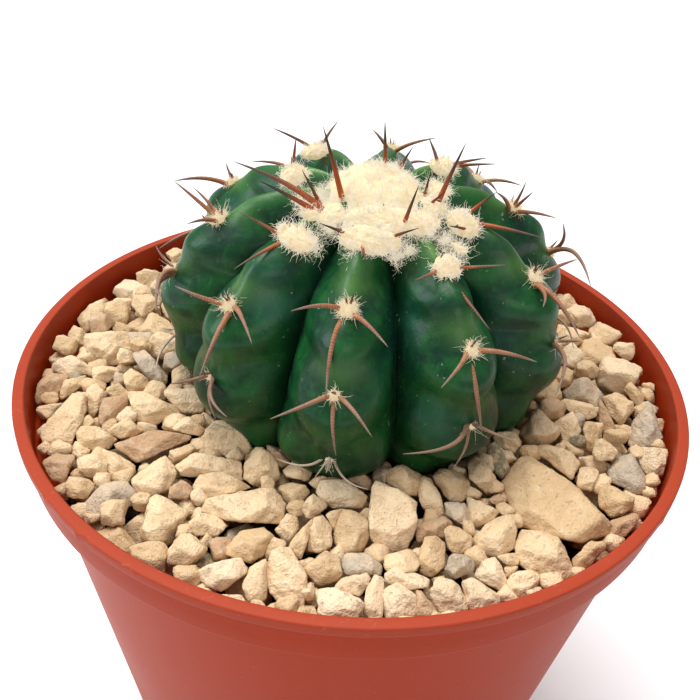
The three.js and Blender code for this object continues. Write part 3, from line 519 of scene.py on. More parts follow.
# The stones that stand out in the photograph: what each is made of, and its outline there. Some that lie
# in shadow, such as left_shade, lip_shadow and shaded_block, are given the reddish brown as painted
# shade.
SEEN_STONES = {
    "slab": ("beige", (502, 483), (521, 458), (530, 457), (571, 483), (610, 523), (607, 534),
        (578, 542), (518, 526), (506, 495)),
    "block_below_slab": ("beige", (516, 546), (521, 530), (556, 533), (573, 569), (573, 575),
        (558, 583), (540, 580), (518, 564)),
    "chip_below_slab": ("rust", (558, 534), (579, 542), (578, 549), (569, 556)),
    "lens_by_lip": ("beige", (573, 559), (591, 541), (605, 541), (606, 548), (583, 572), (574, 569)),
    "wedge_left_of_slab": ("beige", (470, 544), (486, 524), (508, 513), (515, 522), (515, 547),
        (508, 553), (480, 559), (472, 551)),
    "cube_by_cactus": ("beige", (460, 470), (475, 456), (490, 468), (497, 484), (481, 498), (472, 494),
        (470, 479)),
    "leaning_chip": ("mossy", (487, 445), (498, 441), (505, 453), (510, 472), (500, 479), (490, 466)),
    "pyramid": ("beige", (467, 499), (468, 496), (500, 512), (490, 523), (475, 528), (467, 518)),
    "red_chip": ("rust", (489, 499), (500, 494), (507, 508), (491, 504)),
    "finger": ("beige", (496, 556), (516, 553), (521, 559), (516, 566), (503, 564)),
    "egg_right": ("pale", (475, 574), (483, 560), (495, 557), (503, 571), (507, 582), (505, 593),
        (490, 586), (476, 578)),
    "lip_stone_right": ("pale", (462, 582), (472, 578), (500, 595), (500, 602), (490, 608), (468, 610)),
    "knob": ("beige", (507, 582), (516, 571), (531, 570), (540, 576), (536, 590), (516, 600),
        (509, 594)),
    "behind_knob": ("beige", (503, 566), (518, 567), (511, 577), (506, 577)),
    "above_slab": ("beige", (536, 446), (548, 444), (573, 453), (579, 463), (572, 480), (540, 455)),
    "notched": ("beige", (577, 483), (580, 469), (593, 467), (599, 473), (591, 491), (578, 488)),
    "grey_square": ("grey", (607, 473), (616, 458), (632, 454), (646, 478), (645, 494), (632, 492),
        (609, 481)),
    "round_right": ("beige", (599, 503), (596, 488), (609, 485), (634, 498), (633, 509), (612, 518),
        (599, 506)),
    "brown_by_wall": ("rust", (611, 521), (636, 513), (640, 518), (626, 536), (609, 544), (606, 539)),
    "box_by_wall": ("pale", (637, 451), (642, 447), (667, 449), (669, 461), (662, 476), (647, 477),
        (639, 463)),
    "tooth": ("grey", (628, 445), (632, 423), (651, 401), (656, 418), (663, 436), (656, 446),
        (632, 447)),
    "leaf_a": ("beige", (553, 423), (573, 411), (581, 430), (573, 446), (564, 441)),
    "leaf_b": ("beige", (581, 420), (594, 420), (600, 435), (596, 451), (576, 449), (583, 430)),
    "sliver": ("rust", (599, 398), (604, 405), (619, 434), (603, 435), (599, 420)),
    "cap": ("beige", (566, 399), (593, 405), (596, 416), (588, 420), (576, 416), (559, 403)),
    "saddle": ("beige", (603, 397), (616, 392), (632, 402), (634, 410), (621, 426), (609, 415)),
    "long_right": ("beige", (629, 380), (645, 397), (639, 411), (624, 390)),
    "broad_right": ("beige", (641, 385), (670, 381), (680, 397), (667, 415), (657, 417), (647, 402)),
    "tall_wedge": ("beige", (376, 481), (407, 495), (424, 511), (416, 528), (416, 546), (396, 555),
        (382, 552), (370, 536), (370, 513), (372, 488)),
    "below_wedge": ("beige", (383, 556), (409, 549), (419, 561), (416, 571), (396, 573), (386, 571)),
    "spearhead": ("beige", (423, 475), (430, 478), (440, 495), (445, 515), (424, 510), (418, 496),
        (419, 481)),
    "behind_wedge": ("beige", (386, 471), (402, 464), (422, 476), (417, 496), (407, 495), (387, 483)),
    "purple_chip": ("grey", (372, 480), (374, 468), (387, 467), (386, 485)),
    "white_chip": ("pale", (329, 473), (341, 470), (345, 478), (331, 479)),
    "behind_white": ("beige", (349, 471), (353, 466), (371, 480), (370, 491), (348, 481)),
    "whitish": ("pale", (316, 493), (319, 481), (346, 480), (367, 496), (363, 508), (333, 509)),
    "behind_whitish": ("beige", (308, 483), (316, 477), (343, 478), (316, 490)),
    "pea": ("beige", (301, 505), (314, 493), (328, 506), (314, 519), (306, 518)),
    "round_middle": ("beige", (343, 509), (359, 513), (367, 519), (369, 536), (362, 552), (341, 556),
        (334, 543), (335, 528)),
    "flake_middle": ("beige", (326, 515), (343, 508), (334, 530)),
    "post": ("beige", (314, 518), (323, 515), (332, 528), (331, 544), (323, 553), (308, 550),
        (310, 530)),
    "shard": ("beige", (314, 516), (309, 538), (301, 558), (287, 548), (293, 539)),
    "mossy_stone": ("mossy", (266, 485), (283, 477), (306, 481), (309, 487), (300, 505), (290, 520),
        (284, 519), (277, 490)),
    "long_wedge": ("beige", (203, 506), (208, 498), (273, 487), (285, 503), (284, 516), (281, 524),
        (225, 520), (203, 512)),
    "tall_egg": ("beige", (266, 571), (271, 553), (280, 547), (290, 549), (306, 574), (306, 589),
        (303, 612), (283, 608), (270, 592)),
    "flat_left": ("beige", (222, 553), (240, 531), (263, 527), (274, 537), (265, 553), (250, 564),
        (245, 562), (225, 557)),
    "lip_left": ("pale", (193, 568), (215, 563), (238, 553), (248, 569), (245, 574), (221, 591),
        (200, 582)),
    "lip_left_small": ("beige", (243, 584), (250, 568), (266, 559), (267, 596), (263, 602), (245, 599)),
    "speckled": ("grey", (341, 561), (348, 553), (366, 553), (382, 566), (381, 576), (344, 573)),
    "arrow": ("beige", (304, 568), (326, 551), (339, 556), (343, 573), (338, 580), (323, 586),
        (313, 583)),
    "pillow": ("pale", (335, 589), (341, 578), (366, 573), (371, 579), (366, 588), (359, 597)),
    "lip_middle": ("pale", (316, 590), (326, 587), (349, 593), (366, 604), (357, 619), (319, 616)),
    "lip_shadow": ("rust", (305, 612), (313, 579), (316, 591), (318, 614)),
    "bone": ("pale", (364, 614), (366, 589), (374, 576), (384, 579), (382, 619), (371, 620)),
    "lip_round": ("pale", (382, 591), (397, 582), (416, 596), (416, 616), (404, 620), (385, 619)),
    "bar": ("pale", (386, 574), (397, 566), (430, 579), (427, 588), (409, 589), (386, 582)),
    "red_speckled": ("rust", (416, 612), (416, 591), (422, 592), (439, 614), (437, 617), (416, 615)),
    "lip_right": ("pale", (430, 592), (437, 577), (450, 579), (458, 586), (468, 604), (468, 611),
        (443, 615), (434, 605)),
    "upright": ("beige", (419, 556), (425, 538), (437, 536), (445, 544), (444, 566), (432, 578),
        (420, 573)),
    "tan_cap": ("rust", (417, 528), (429, 519), (445, 516), (452, 523), (444, 536), (417, 543)),
    "brown_ball": ("beige", (445, 529), (452, 526), (460, 528), (473, 539), (470, 551), (458, 555),
        (447, 548)),
    "grey_wedge": ("grey", (445, 503), (465, 503), (470, 520), (468, 527), (455, 521), (447, 514)),
    "pebble": ("beige", (432, 473), (440, 469), (460, 472), (469, 480), (471, 493), (460, 503),
        (449, 501), (437, 486)),
    "left_top": ("beige", (201, 439), (213, 422), (229, 419), (258, 428), (266, 434), (239, 461),
        (207, 449)),
    "left_round": ("beige", (246, 463), (255, 448), (263, 448), (278, 463), (279, 478), (266, 487),
        (253, 486), (244, 478)),
    "left_shade": ("rust", (266, 444), (288, 451), (290, 460), (281, 470), (268, 452)),
    "left_back": ("beige", (283, 471), (298, 455), (310, 455), (313, 470), (309, 481), (286, 477)),
    "left_flat": ("beige", (177, 466), (195, 452), (241, 462), (242, 481), (229, 480), (182, 476)),
    "left_front": ("beige", (193, 485), (200, 475), (217, 470), (231, 476), (251, 488), (207, 499),
        (195, 493)),
    "tongue": ("rust", (115, 444), (155, 430), (191, 436), (189, 440), (138, 462), (119, 450)),
    "small_left": ("beige", (109, 431), (127, 417), (143, 431), (131, 437), (119, 439)),
    "hex": ("beige", (77, 433), (81, 427), (96, 426), (117, 440), (110, 449), (93, 451), (77, 445)),
    "left_long": ("beige", (41, 431), (48, 421), (72, 394), (84, 395), (86, 412), (72, 443), (57, 452),
        (43, 445)),
    "left_small_cap": ("beige", (172, 428), (186, 416), (205, 429), (198, 436), (174, 431)),
    "light_box": ("pale", (164, 390), (201, 387), (208, 399), (203, 412), (182, 414), (165, 395)),
    "light_wing": ("beige", (128, 392), (143, 392), (181, 409), (179, 414), (146, 428), (138, 421),
        (129, 399)),
    "grey_ridge": ("grey", (134, 354), (145, 350), (167, 376), (165, 390), (158, 392), (150, 381),
        (134, 366)),
    "blurred_box": ("beige", (172, 371), (182, 365), (196, 369), (198, 385), (172, 385)),
    "tan_block": ("beige", (123, 376), (131, 367), (148, 380), (150, 391), (127, 392)),
    "shaded_block": ("rust", (103, 399), (127, 394), (129, 404), (120, 418), (103, 428), (98, 421)),
    "thin_block": ("beige", (86, 388), (96, 383), (107, 394), (100, 409), (91, 418), (88, 411)),
    "ear": ("beige", (93, 368), (102, 366), (119, 368), (119, 376), (107, 383), (93, 381)),
    "grey_left": ("pale", (52, 363), (72, 355), (89, 366), (91, 375), (69, 376), (52, 371)),
    "pointed": ("rust", (31, 390), (50, 373), (70, 375), (58, 394), (38, 404)),
    "triangle": ("beige", (59, 399), (64, 381), (86, 375), (83, 385), (62, 400)),
    "upper_box": ("beige", (43, 359), (48, 328), (55, 321), (81, 337), (76, 347), (46, 363)),
    "upper_a": ("beige", (77, 319), (89, 306), (103, 299), (107, 326), (83, 332)),
    "upper_b": ("beige", (105, 323), (103, 304), (120, 299), (131, 309), (124, 330)),
    "upper_c": ("beige", (84, 349), (86, 333), (127, 332), (131, 347), (127, 362), (110, 366),
        (96, 359)),
    "upper_grey": ("grey", (127, 332), (153, 333), (155, 349), (133, 352)),
    "half_brown": ("rust", (42, 462), (50, 454), (76, 455), (64, 483), (52, 480)),
    "faceted": ("beige", (77, 459), (93, 453), (107, 459), (107, 478), (88, 478), (79, 471)),
    "fin": ("beige", (103, 449), (117, 454), (136, 466), (112, 480), (103, 462)),
    "big_left": ("beige", (131, 478), (165, 455), (177, 471), (172, 488), (146, 500), (136, 495)),
    "low_brown": ("rust", (169, 488), (182, 480), (193, 488), (186, 499), (169, 498)),
    "low_left": ("beige", (66, 485), (69, 476), (89, 480), (96, 485), (86, 499), (67, 497)),
    "grey_white": ("grey", (84, 505), (103, 483), (127, 481), (135, 493), (134, 503), (100, 521),
        (86, 515)),
    "peach": ("beige", (188, 522), (200, 513), (218, 515), (228, 526), (217, 536), (195, 535)),
}

luck = np.random.default_rng(STONE_SEED)
axis = np.arange(-GRID_REACH, GRID_REACH + CELL / 2, CELL)
grid_x, grid_y = np.meshgrid(axis, axis, indexing="ij")
distance = np.hypot(grid_x, grid_y)
bed = np.full(distance.shape, BED_FLOOR)
bed[distance > WALL_RADIUS_LOW] = WALL_LEDGE
bed[distance > WALL_RADIUS_HIGH] = np.inf
bed[np.hypot(grid_x - BODY_CENTRE[0], grid_y - BODY_CENTRE[1]) < ROOT_ROOM] = np.inf
belly, _ = skin(*np.meshgrid(np.arange(0, 360, 0.25), np.arange(-62, 4, 0.25)))
belly = on_body(belly.reshape(-1, 3))
under_plant = np.full(distance.shape, np.inf)
under_belly = np.round((belly[:, :2] + GRID_REACH) / CELL).astype(int)
np.minimum.at(under_plant, tuple(under_belly.T), belly[:, 2])
ceiling = under_plant.copy()
front = np.clip(-grid_y / np.maximum(distance, 1), 0, 1) ** 2
bed_top = BED_TOP_PLANT + (BED_TOP_WALL - BED_TOP_PLANT) * ramp(33, 57, distance)
bed_top += BED_TOP_FRONT * front * ramp(40, 57, distance)
rightmost = np.clip((grid_x + 0.5 * grid_y) / np.maximum(distance, 1), 0, 1)
bed_top += BED_TOP_RIGHT * rightmost * ramp(40, 57, distance)
taken = np.zeros(distance.shape, bool)


def facets(size, sides, luck):
    """An angular stone: the outward normals of its facets and their distances from its middle."""
    k = np.arange(sides) + 0.5
    height = 1 - 2 * k / sides
    normals = polar(np.sqrt(1 - height ** 2), GOLDEN_TURN * k + luck.uniform(0, FULL_TURN), height)
    normals = unit(normals + luck.normal(0, FACET_STRAY, normals.shape))
    reach = np.linalg.norm(normals * size / 2, axis=1)
    return normals, reach * luck.uniform(*FACET_CUT, sides)


def tipped(normals, tilt, luck):
    """The normals turned to any compass side and tipped from level by about tilt degrees."""
    turn = Matrix.Rotation(luck.uniform(0, FULL_TURN), 3, "Z")
    for side in "XY":
        turn = turn @ Matrix.Rotation(math.radians(luck.normal(0, tilt)), 3, side)
    return normals @ np.array(turn).T


LEVEL = 1e-3  # a facet that faces up or down by less than this counts as upright


def shadow(normals, reach, half, off=(0, 0)):
    """A stone's lower and upper side over a square patch of the grid, and where it covers it."""
    patch = np.arange(-half, half + 1) * CELL
    x, y = np.meshgrid(patch + off[0], patch + off[1], indexing="ij")
    low, high = np.full(x.shape, -np.inf), np.full(x.shape, np.inf)
    covers = np.full(x.shape, True)
    for (nx, ny, nz), far in zip(normals, reach):
        room = far - nx * x - ny * y
        if nz > LEVEL:
            high = np.minimum(high, room / nz)
        elif nz < -LEVEL:
            low = np.maximum(low, room / nz)
        else:
            covers &= room > 0
    covers &= high > low
    return np.where(covers, low, 0), np.where(covers, high, 0), covers


def sight(pixel):
    """The way from the camera through a pixel of the photograph."""
    across, down = ((place - PICTURE / 2) / (LENS / FILM * PICTURE) for place in pixel)
    return np.array((forward + across * rightward - down * topward).normalized())


RIM_OF_PLANT = -31.0  # the latitude at which the stones reach up to the plant
LARGE_STONE, DEEP_STONE = 8, 93  # how long one is and how low one's middle lies

eye = np.array(CAMERA_PLACE) / MM
stones = []  # of (middle, normals, distances, size, kind, fineness)
for name, (kind, *outline) in SEEN_STONES.items():
    ways = np.array([sight(pixel) for pixel in outline])
    middle_way = unit(ways.mean(0))
    depth = 96.0  # a first guess, put right by the bed's height there
    for _ in range(4):
        middle = eye + middle_way * (depth - eye[2]) / middle_way[2]
        spot = np.clip(np.round((middle[:2] + GRID_REACH) / CELL).astype(int), 0, len(axis) - 1)
        depth = bed_top[tuple(spot)] - STONE_SINK
    seen_size = np.ptp(ways * np.linalg.norm(middle - eye), axis=0).max()
    propped = STONE_PROPPED - 0.5 * STONE_PROPPED * ramp(9, 16, seen_size)
    top_way = unit(np.array([0, 0, 1 - propped]) - propped * middle_way + luck.normal(0, 0.05, 3))
    corners = eye + ways * ((middle - eye) @ top_way / (ways @ top_way))[:, None] - middle
    along = np.cross(top_way, rightward)
    across = np.cross(along, top_way)
    half_wide, half_long = (np.ptp(corners @ side) / 2 for side in (across, along))
    thick = float(np.clip(0.62 * min(half_wide, half_long), 1.2, STONE_HALF_THICKNESS))
    normals, reach = [], []
    for one, other in zip(ways, np.roll(ways, -1, 0)):
        normal = np.cross(one, other)
        normal *= -np.sign(normal @ middle_way) / np.linalg.norm(normal)
        normals.append(normal)
        reach.append(OUTLINE_EASE * normal @ (eye - middle))
    # The upper and lower facets bevel its edge, and leave the outline whole.
    for facing, count, lowest, highest in STONE_BEVELS:
        start = luck.uniform(0, FULL_TURN)
        for k in range(count):
            lean, around = luck.uniform(0.55, 1.05), start + GOLDEN_TURN * k
            level = math.cos(around) * across + math.sin(around) * along
            normals.append(facing * math.cos(lean) * top_way + math.sin(lean) * level)
            cut = facing * luck.uniform(lowest, highest) * thick * math.cos(lean)
            reach.append((corners @ normals[-1]).max() + cut)
    tilted = top_way + luck.normal(0, 0.09) * across + luck.normal(0, 0.09) * along
    normals += [unit(tilted), -top_way]
    reach += [thick * luck.uniform(0.8, 1), thick]
    # Two more facets keep it off the pot's wall and out of the plant.
    from_axis, from_plant = middle[:2], middle[:2] - BODY_CENTRE[:2]
    plant_side, _ = skin(np.degrees(np.arctan2(from_plant[1], from_plant[0])), np.array(RIM_OF_PLANT))
    plant_room = np.linalg.norm(from_plant) - np.linalg.norm(plant_side[:2]) - 0.2
    normals += [unit(np.array([*from_axis, 0])), unit(-np.array([*from_plant, 0]))]
    reach += [WALL_RADIUS_HIGH - 0.1 - np.linalg.norm(from_axis), max(plant_room, 0.8)]
    normals, reach = np.array(normals), np.array(reach)
    if reach.min() < 0.3:
        continue
    half = math.ceil(np.abs(corners[:, :2]).max() / CELL) + 3
    low, _, covers = shadow(normals, reach, half, axis[spot] - middle[:2])
    fits = tuple(slice(max(0, half - c), half + 1 + min(half, len(axis) - 1 - c)) for c in spot)
    patch = tuple(slice(max(0, c - half), c + half + 1) for c in spot)
    low, covers, over = low[fits], covers[fits], ceiling[patch]
    over[covers] = np.minimum(over[covers], (middle[2] + low)[covers])
    taken[patch] |= covers
    size = 2 * np.array([half_wide, half_long, thick])
    stones.append((middle, normals, reach, size, kind, 4 if size.max() > LARGE_STONE else 3))

for layer, (length, spread, count, below, tuck) in STONE_LAYERS.items():
    if layer == "main":
        bed[taken] = np.maximum(bed, bed_top)[taken]
        ceiling = under_plant
    misses = 0
    for _ in range(count):
        if misses > STONE_MISSES:
            break
        long = float(np.clip(luck.normal(length, spread), 0.6 * length, 1.7 * length))
        size = long * np.array([1, luck.uniform(*STONE_BREADTH), luck.uniform(*STONE_THICKNESS)])
        shape = facets(size, int(luck.integers(*STONE_FACETS)), luck)
        half = math.ceil(0.56 * long / CELL)
        pits = np.argwhere(bed < bed_top - below - 0.5 * size[2])
        pits = pits[(pits.min(1) > half) & (pits.max(1) < len(axis) - half - 1)]
        if not len(pits):
            break
        best = None
        windows, roofs, busy = (
            sliding_window_view(of, (2 * half + 1, 2 * half + 1)) for of in (bed, ceiling, taken))
        for _ in range(STONE_TURNS):
            normals = tipped(shape[0], STONE_TILT, luck)
            low, high, covers = shadow(normals, shape[1], half)
            spots = pits[luck.integers(0, len(pits), STONE_PLACES)]
            corner = spots[:, 0] - half, spots[:, 1] - half
            under, over = windows[corner], roofs[corner]
            free = covers & ~busy[corner] if layer != "under" else covers & np.isfinite(under - low)
            rest = np.where(free, under - low, -np.inf).max((1, 2))
            with np.errstate(invalid="ignore"):  # outside the bed both heights are infinite
                room = np.where(covers, over - high, np.inf).min((1, 2)) - rest
            crowd = (busy[corner] & covers).sum((1, 2)) / covers.sum()
            top = rest + high.max()
            hollow = np.where(covers, rest[:, None, None] + low - np.where(np.isinf(under), 0, under), 0)
            hollow = hollow.sum((1, 2)) / covers.sum()
            target = bed_top[spots[:, 0], spots[:, 1]]
            proud = np.maximum(0, top - target)
            cost = rest + high[covers].mean() - target + HOLLOW_COST * hollow + PROUD_COST * proud
            cost[~np.isfinite(rest) | (room < STONE_GAP)] = np.inf
            cost[(top > target - below + STONE_PROUD) | (crowd > tuck)] = np.inf
            pick = int(cost.argmin())
            if np.isfinite(cost[pick]) and (best is None or cost[pick] < best[0]):
                best = cost[pick], spots[pick], rest[pick], normals, high, covers
        if best is None:
            misses += 1
            continue
        misses = 0
        _, (i, j), rest, normals, high, covers = best
        patch = bed[i - half:i + half + 1, j - half:j + half + 1]
        patch[covers] = np.maximum(patch[covers], (rest + high)[covers])
        draw, kind = luck.random(), 0
        while draw > LOOSE_KINDS[kind][1]:
            draw, kind = draw - LOOSE_KINDS[kind][1], min(kind + 1, len(LOOSE_KINDS) - 1)
        stones.append((np.array([axis[i], axis[j], rest]), normals, shape[1], size,
                       LOOSE_KINDS[kind][0], 3 if layer in ("main", "small") else 2))


def ball(levels):
    """Unit directions spread evenly over a ball, and the triangles between them."""
    kit = bmesh.new()
    bmesh.ops.create_icosphere(kit, subdivisions=levels, radius=1)
    ways = unit(np.array([v.co for v in kit.verts]))
    triangles = np.array([[v.index for v in f.verts] for f in kit.faces])
    kit.free()
    return ways, triangles


def worn_stone(normals, reach, size, ways, luck):
    """Points of a stone with its edges rounded over and its facets roughened."""
    ways = unit(ways * size)
    crispness = luck.uniform(*STONE_CRISPNESS)
    facing = np.maximum(ways @ normals.T, 1e-6) / reach
    points = ways * ((facing ** crispness).sum(1) ** (-1 / crispness))[:, None]
    for _ in range(STONE_WAVES):
        wave = luck.normal(0, 1, 3)
        wave *= 2 * np.pi / luck.uniform(*STONE_WAVE_LENGTHS) / np.linalg.norm(wave)
        points += ways * (STONE_ROUGHNESS * np.sin(points @ wave + luck.uniform(0, FULL_TURN)))[:, None]
    return points


STONE_CARRIES = ("tone", "grey", "moss", "rust", "fair")

grit = Finish("gravel_stone", Roughness=0.85, Specular_IOR_Level=0.25)
tone, grey, moss, rust, fair = (grit.carried(key) for key in STONE_CARRIES)
dust = grit.noise(0.0016, detail=5, roughness=0.65)
veins = grit.noise(0.005, detail=4, warp=1.2)
pores = grit.step(grit.noise(0.0008, detail=3, roughness=0.6), 0.60, 0.72)
colour = grit.mix(tone, STONE_DARK, STONE_LIGHT)
colour = grit.mix(grit.step(veins, 0.50, 0.70) * 0.6, colour, STONE_VEIN)
colour = grit.mix(fair * 0.7, colour, STONE_FAIR)
# Reddish-brown stones; on the seen stones that lie in shadow this brown is painted shade.
colour = grit.mix(rust * 0.75, colour, STONE_RUST_AND_SHADE)
colour = grit.mix(grey * (0.35 + grit.step(veins, 0.35, 0.6) * 0.4), colour, STONE_GREY)
colour = grit.mix(moss * grit.step(dust, 0.42, 0.58) * 0.85, colour, STONE_MOSS)
colour = grit.mix(grit.step(dust, 0.50, 0.72) * 0.3, colour, STONE_DUST)
colour = grit.mix(pores * 0.35, colour, STONE_PORE)
grit.wear(Base_Color=colour, Roughness=0.8 + dust * 0.15,
          Normal=grit.bump(dust * 0.7 + grit.noise(0.0004, detail=2) * 0.35 - pores * 0.35, 0.0006))

parts = {name: [] for name in ("gravel_front_left", "gravel_front_right", "gravel_back_left",
                               "gravel_back_right", "gravel_under")}
for stone in stones:
    x, y, z = stone[0]
    place = f"gravel_{'front' if y < -22 else 'back'}_{'left' if x < 0 else 'right'}"
    parts["gravel_under" if stone[5] == 2 and z < DEEP_STONE else place].append(stone)
balls = {fineness: ball(fineness + 1) for fineness in (2, 3, 4)}
for part, group in parts.items():
    points, faces, carried = [], [], {key: [] for key in STONE_CARRIES}
    for middle, normals, reach, size, kind, fineness in group:
        ways, triangles = balls[fineness]
        faces.append(triangles + sum(len(p) for p in points))
        points.append(middle + worn_stone(normals, reach, size, ways, luck))
        for key, value in zip(STONE_CARRIES, (luck.uniform(0, 1), *STONE_KINDS[kind])):
            carried[key].append(np.full(len(ways), value))
    made = mesh_object(part, np.concatenate(points) * MM, np.concatenate(faces).tolist(), grit.material,
                       **{key: np.concatenate(values) for key, values in carried.items()})
    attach(made, "root")
    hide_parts("gravel")

# ---- Areole felt ----------------------------------------------------------------------------
# Each rib carries a row of areoles: small cushions of cream felt that the spines grow through.
# They shrink and turn grey with age, and stray hairs curl from them over the skin.

# Latitudes: those that have areoles, the one above which only the spines that are seen stand, and
# the one above which the crown's tufts take the cushions' place.
AREOLE_RANGE, WOOLLY_LATITUDE, TUFTED_LATITUDE = (-14, 78), 57, 54.5
CUSHION_SMALL, CUSHION_FULL, CUSHION_FULL_AT = 0.6, 1.9, 50
CUSHION_SHAPE = np.array([1.0, 1.08, 0.6])  # rightward, upward and outward, of its radius
CUSHION_CORE, CUSHION_LUMPS, CUSHION_GREY = 0.68, 0.10, (-10, 45)
LUMP_SIZES = np.linspace(3, 30, 28)  # how many waves of lumps there are over a cushion's radius
AREOLE_HAIRS, HAIR_RADIUS, HAIR_CURL = 440, 0.030, 0.55
STRAY_SHARE, STRAY_LENGTH = 0.09, (1.4, 3.0)
HAIR_TAPER = np.array([1, 0.92, 0.7, 0.3])
AREOLE_SEED = 4
WOOL_PAINTED_GLOW = 0.5  # a painted glow: the wool gives out light in its own colour, in place of the light that fine, clear hairs pass on to each other
WOOL_YOUNG, WOOL_OLD_AND_SHADE, WOOL_MATTED = (0.95, 0.87, 0.67), (0.56, 0.43, 0.31), (0.90, 0.73, 0.46)
WOOL_DEEP, WOOL_TIP = (0.85, 0.68, 0.42), (1.0, 0.97, 0.85)


def areole(rib, step):
    """An areole's middle, its rightward, upward and outward sides, and its latitude."""
    compass, latitude = FIRST_RIB + rib * 360 / RIBS, AREOLE_LATITUDES[rib] + step * AREOLE_SPACING
    spot, _ = skin(np.array(compass), np.array(latitude))
    around, high = np.radians(compass), np.radians(latitude)
    out = unit(polar(math.cos(high) / BODY_RADIUS, around, math.sin(high) / BODY_HALF_HEIGHT))
    right = np.array([-math.sin(around), math.cos(around), 0])
    return on_body(spot), np.array([right, np.cross(out, right), out]) @ body_turn.T, latitude


areoles = {(rib, step): areole(rib, step) for rib in range(RIBS) for step in range(-2, 4)
           if AREOLE_RANGE[0] < AREOLE_LATITUDES[rib] + step * AREOLE_SPACING < AREOLE_RANGE[1]}


def cushion(middle, half_sizes, sides, lumps, ways, luck):
    """Points of a ball pressed to its half sizes along its three sides, with soft lumps on it."""
    swell = np.zeros(len(ways))
    for often in LUMP_SIZES:
        wave = luck.normal(0, 1, 3)
        wave *= often / np.linalg.norm(wave)
        swell += 2 / often ** 0.5 * np.sin(ways @ wave + luck.uniform(0, FULL_TURN))
    return middle + (ways * half_sizes * (1 + lumps * swell / 3)[:, None]) @ sides


def wandering(roots, ways, lengths, curl, luck, steps):
    """The lines of fine hairs that start at the roots and wander off their ways."""
    lines = [roots]
    for _ in range(steps - 1):
        ways = unit(ways + luck.normal(0, curl, ways.shape))
        lines.append(lines[-1] + ways * lengths[:, None] / (steps - 1))
    return np.stack(lines, 1)


def tubes(lines, radii, sides):
    """Points and faces of tapering tubes along lines of points, closed at both ends."""
    count, steps, _ = lines.shape
    way = unit(np.gradient(lines, axis=1))
    level = np.abs(way.mean(1)[:, None, 2:]) < 0.8
    side = unit(np.cross(way, np.where(level, [0.0, 0, 1], [1.0, 0, 0])))
    angle = (np.arange(sides) * 2 * np.pi / sides)[:, None]
    ring = np.cos(angle) * side[:, :, None] + np.sin(angle) * np.cross(way, side)[:, :, None]
    points = lines[:, :, None] + radii[:, :, None, None] * ring
    first = np.arange(count)[:, None, None] * steps * sides
    quads, (bottom, top) = ring_faces(steps, sides)
    faces = [(first + part).reshape(-1, part.shape[-1]).tolist()
             for part in (quads, np.array([bottom]), np.array([top]))]
    return points.reshape(-1, 3), sum(faces, [])


def hair_piece(name, lines, radii, ages_and_shades, tips):
    """A piece of three-sided hairs, each with how old its wool is and how much painted shade it has, and
    with radii and tips along each of them.
    """
    points, faces = tubes(lines, np.tile(radii, (len(lines), 1)), 3)
    return mesh_object(name, points * MM, faces, wool.material, age=np.repeat(ages_and_shades, 3 * len(radii)),
                       tip=np.tile(np.repeat(tips, 3), len(lines)))


# Painted light: the wool glows in its own colour, though it is no lamp.
wool = Finish("plant_wool", Roughness=0.95, Specular_IOR_Level=0.1, Emission_Strength=WOOL_PAINTED_GLOW)
matting, fibres = wool.noise(0.0016, detail=4, roughness=0.7), wool.noise(0.00022, detail=3, warp=2.5)
# Older wool is greyer; the crown's cores and tufts are darkened toward the same colour as painted shade.
colour = wool.mix(wool.carried("age"), WOOL_YOUNG, WOOL_OLD_AND_SHADE)
colour = wool.mix(wool.step(matting, 0.54, 0.74) * 0.35, colour, WOOL_MATTED)
colour = wool.mix(wool.step(fibres, 0.35, 0.6) * 0.2, WOOL_DEEP, colour)
colour = wool.mix(wool.carried("tip") * 0.9, colour, WOOL_TIP)
wool.wear(Base_Color=colour, Emission_Color=colour, Normal=wool.bump(matting * 0.6 + fibres, 0.0004))

luck = np.random.default_rng(AREOLE_SEED)
round_ways, round_faces = ball(4)
felt_points, felt_faces, felt_age, roots, ways, lengths, hair_age = [], [], [], [], [], [], []
for spot, sides, latitude in areoles.values():
    if latitude > TUFTED_LATITUDE:
        continue
    size = CUSHION_SMALL + (CUSHION_FULL - CUSHION_SMALL) * ramp(0, CUSHION_FULL_AT, latitude)
    old = float(1 - ramp(*CUSHION_GREY, latitude))
    felt_faces.append(round_faces + len(round_ways) * len(felt_points))
    felt_points.append(cushion(spot + 0.1 * sides[2], CUSHION_CORE * size * CUSHION_SHAPE, sides,
                               CUSHION_LUMPS, round_ways, luck))
    felt_age.append(np.full(len(round_ways), 0.45 + 0.5 * old))
    hairs = int(AREOLE_HAIRS * (0.3 + 0.7 * size / CUSHION_FULL))
    spread = luck.normal(0, 1, (hairs, 3))
    spread[:, 2] = np.abs(spread[:, 2])
    spread = unit(spread)
    roots.append(spot + (spread * size * CUSHION_SHAPE * 0.64) @ sides)
    lean = spread * (1, 1, 0.8) + luck.normal(0, 0.6, spread.shape) + (0, -0.15, 0)
    ways.append(unit(lean) @ sides)
    stray = luck.random(hairs) < STRAY_SHARE
    lengths.append(np.where(stray, luck.uniform(*STRAY_LENGTH, hairs),
                            0.75 * size * luck.lognormal(-0.2, 0.35, hairs)))
    hair_age.append(np.full(hairs, 0.12 + 0.45 * old))
felt_points = np.concatenate(felt_points)
felt = mesh_object("areole_felt", felt_points * MM, np.concatenate(felt_faces).tolist(), wool.material,
                   age=np.concatenate(felt_age), tip=np.zeros(len(felt_points)))
roots, ways, lengths = (np.concatenate(parts) for parts in (roots, ways, lengths))
lines = wandering(roots, ways, lengths, HAIR_CURL, luck, len(HAIR_TAPER))
fluff = hair_piece("areole_hairs", lines, HAIR_RADIUS * HAIR_TAPER, np.concatenate(hair_age),
                   1 - HAIR_TAPER)
for piece in (felt, fluff):
    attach(piece, "root")
    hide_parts("cactus_stem")

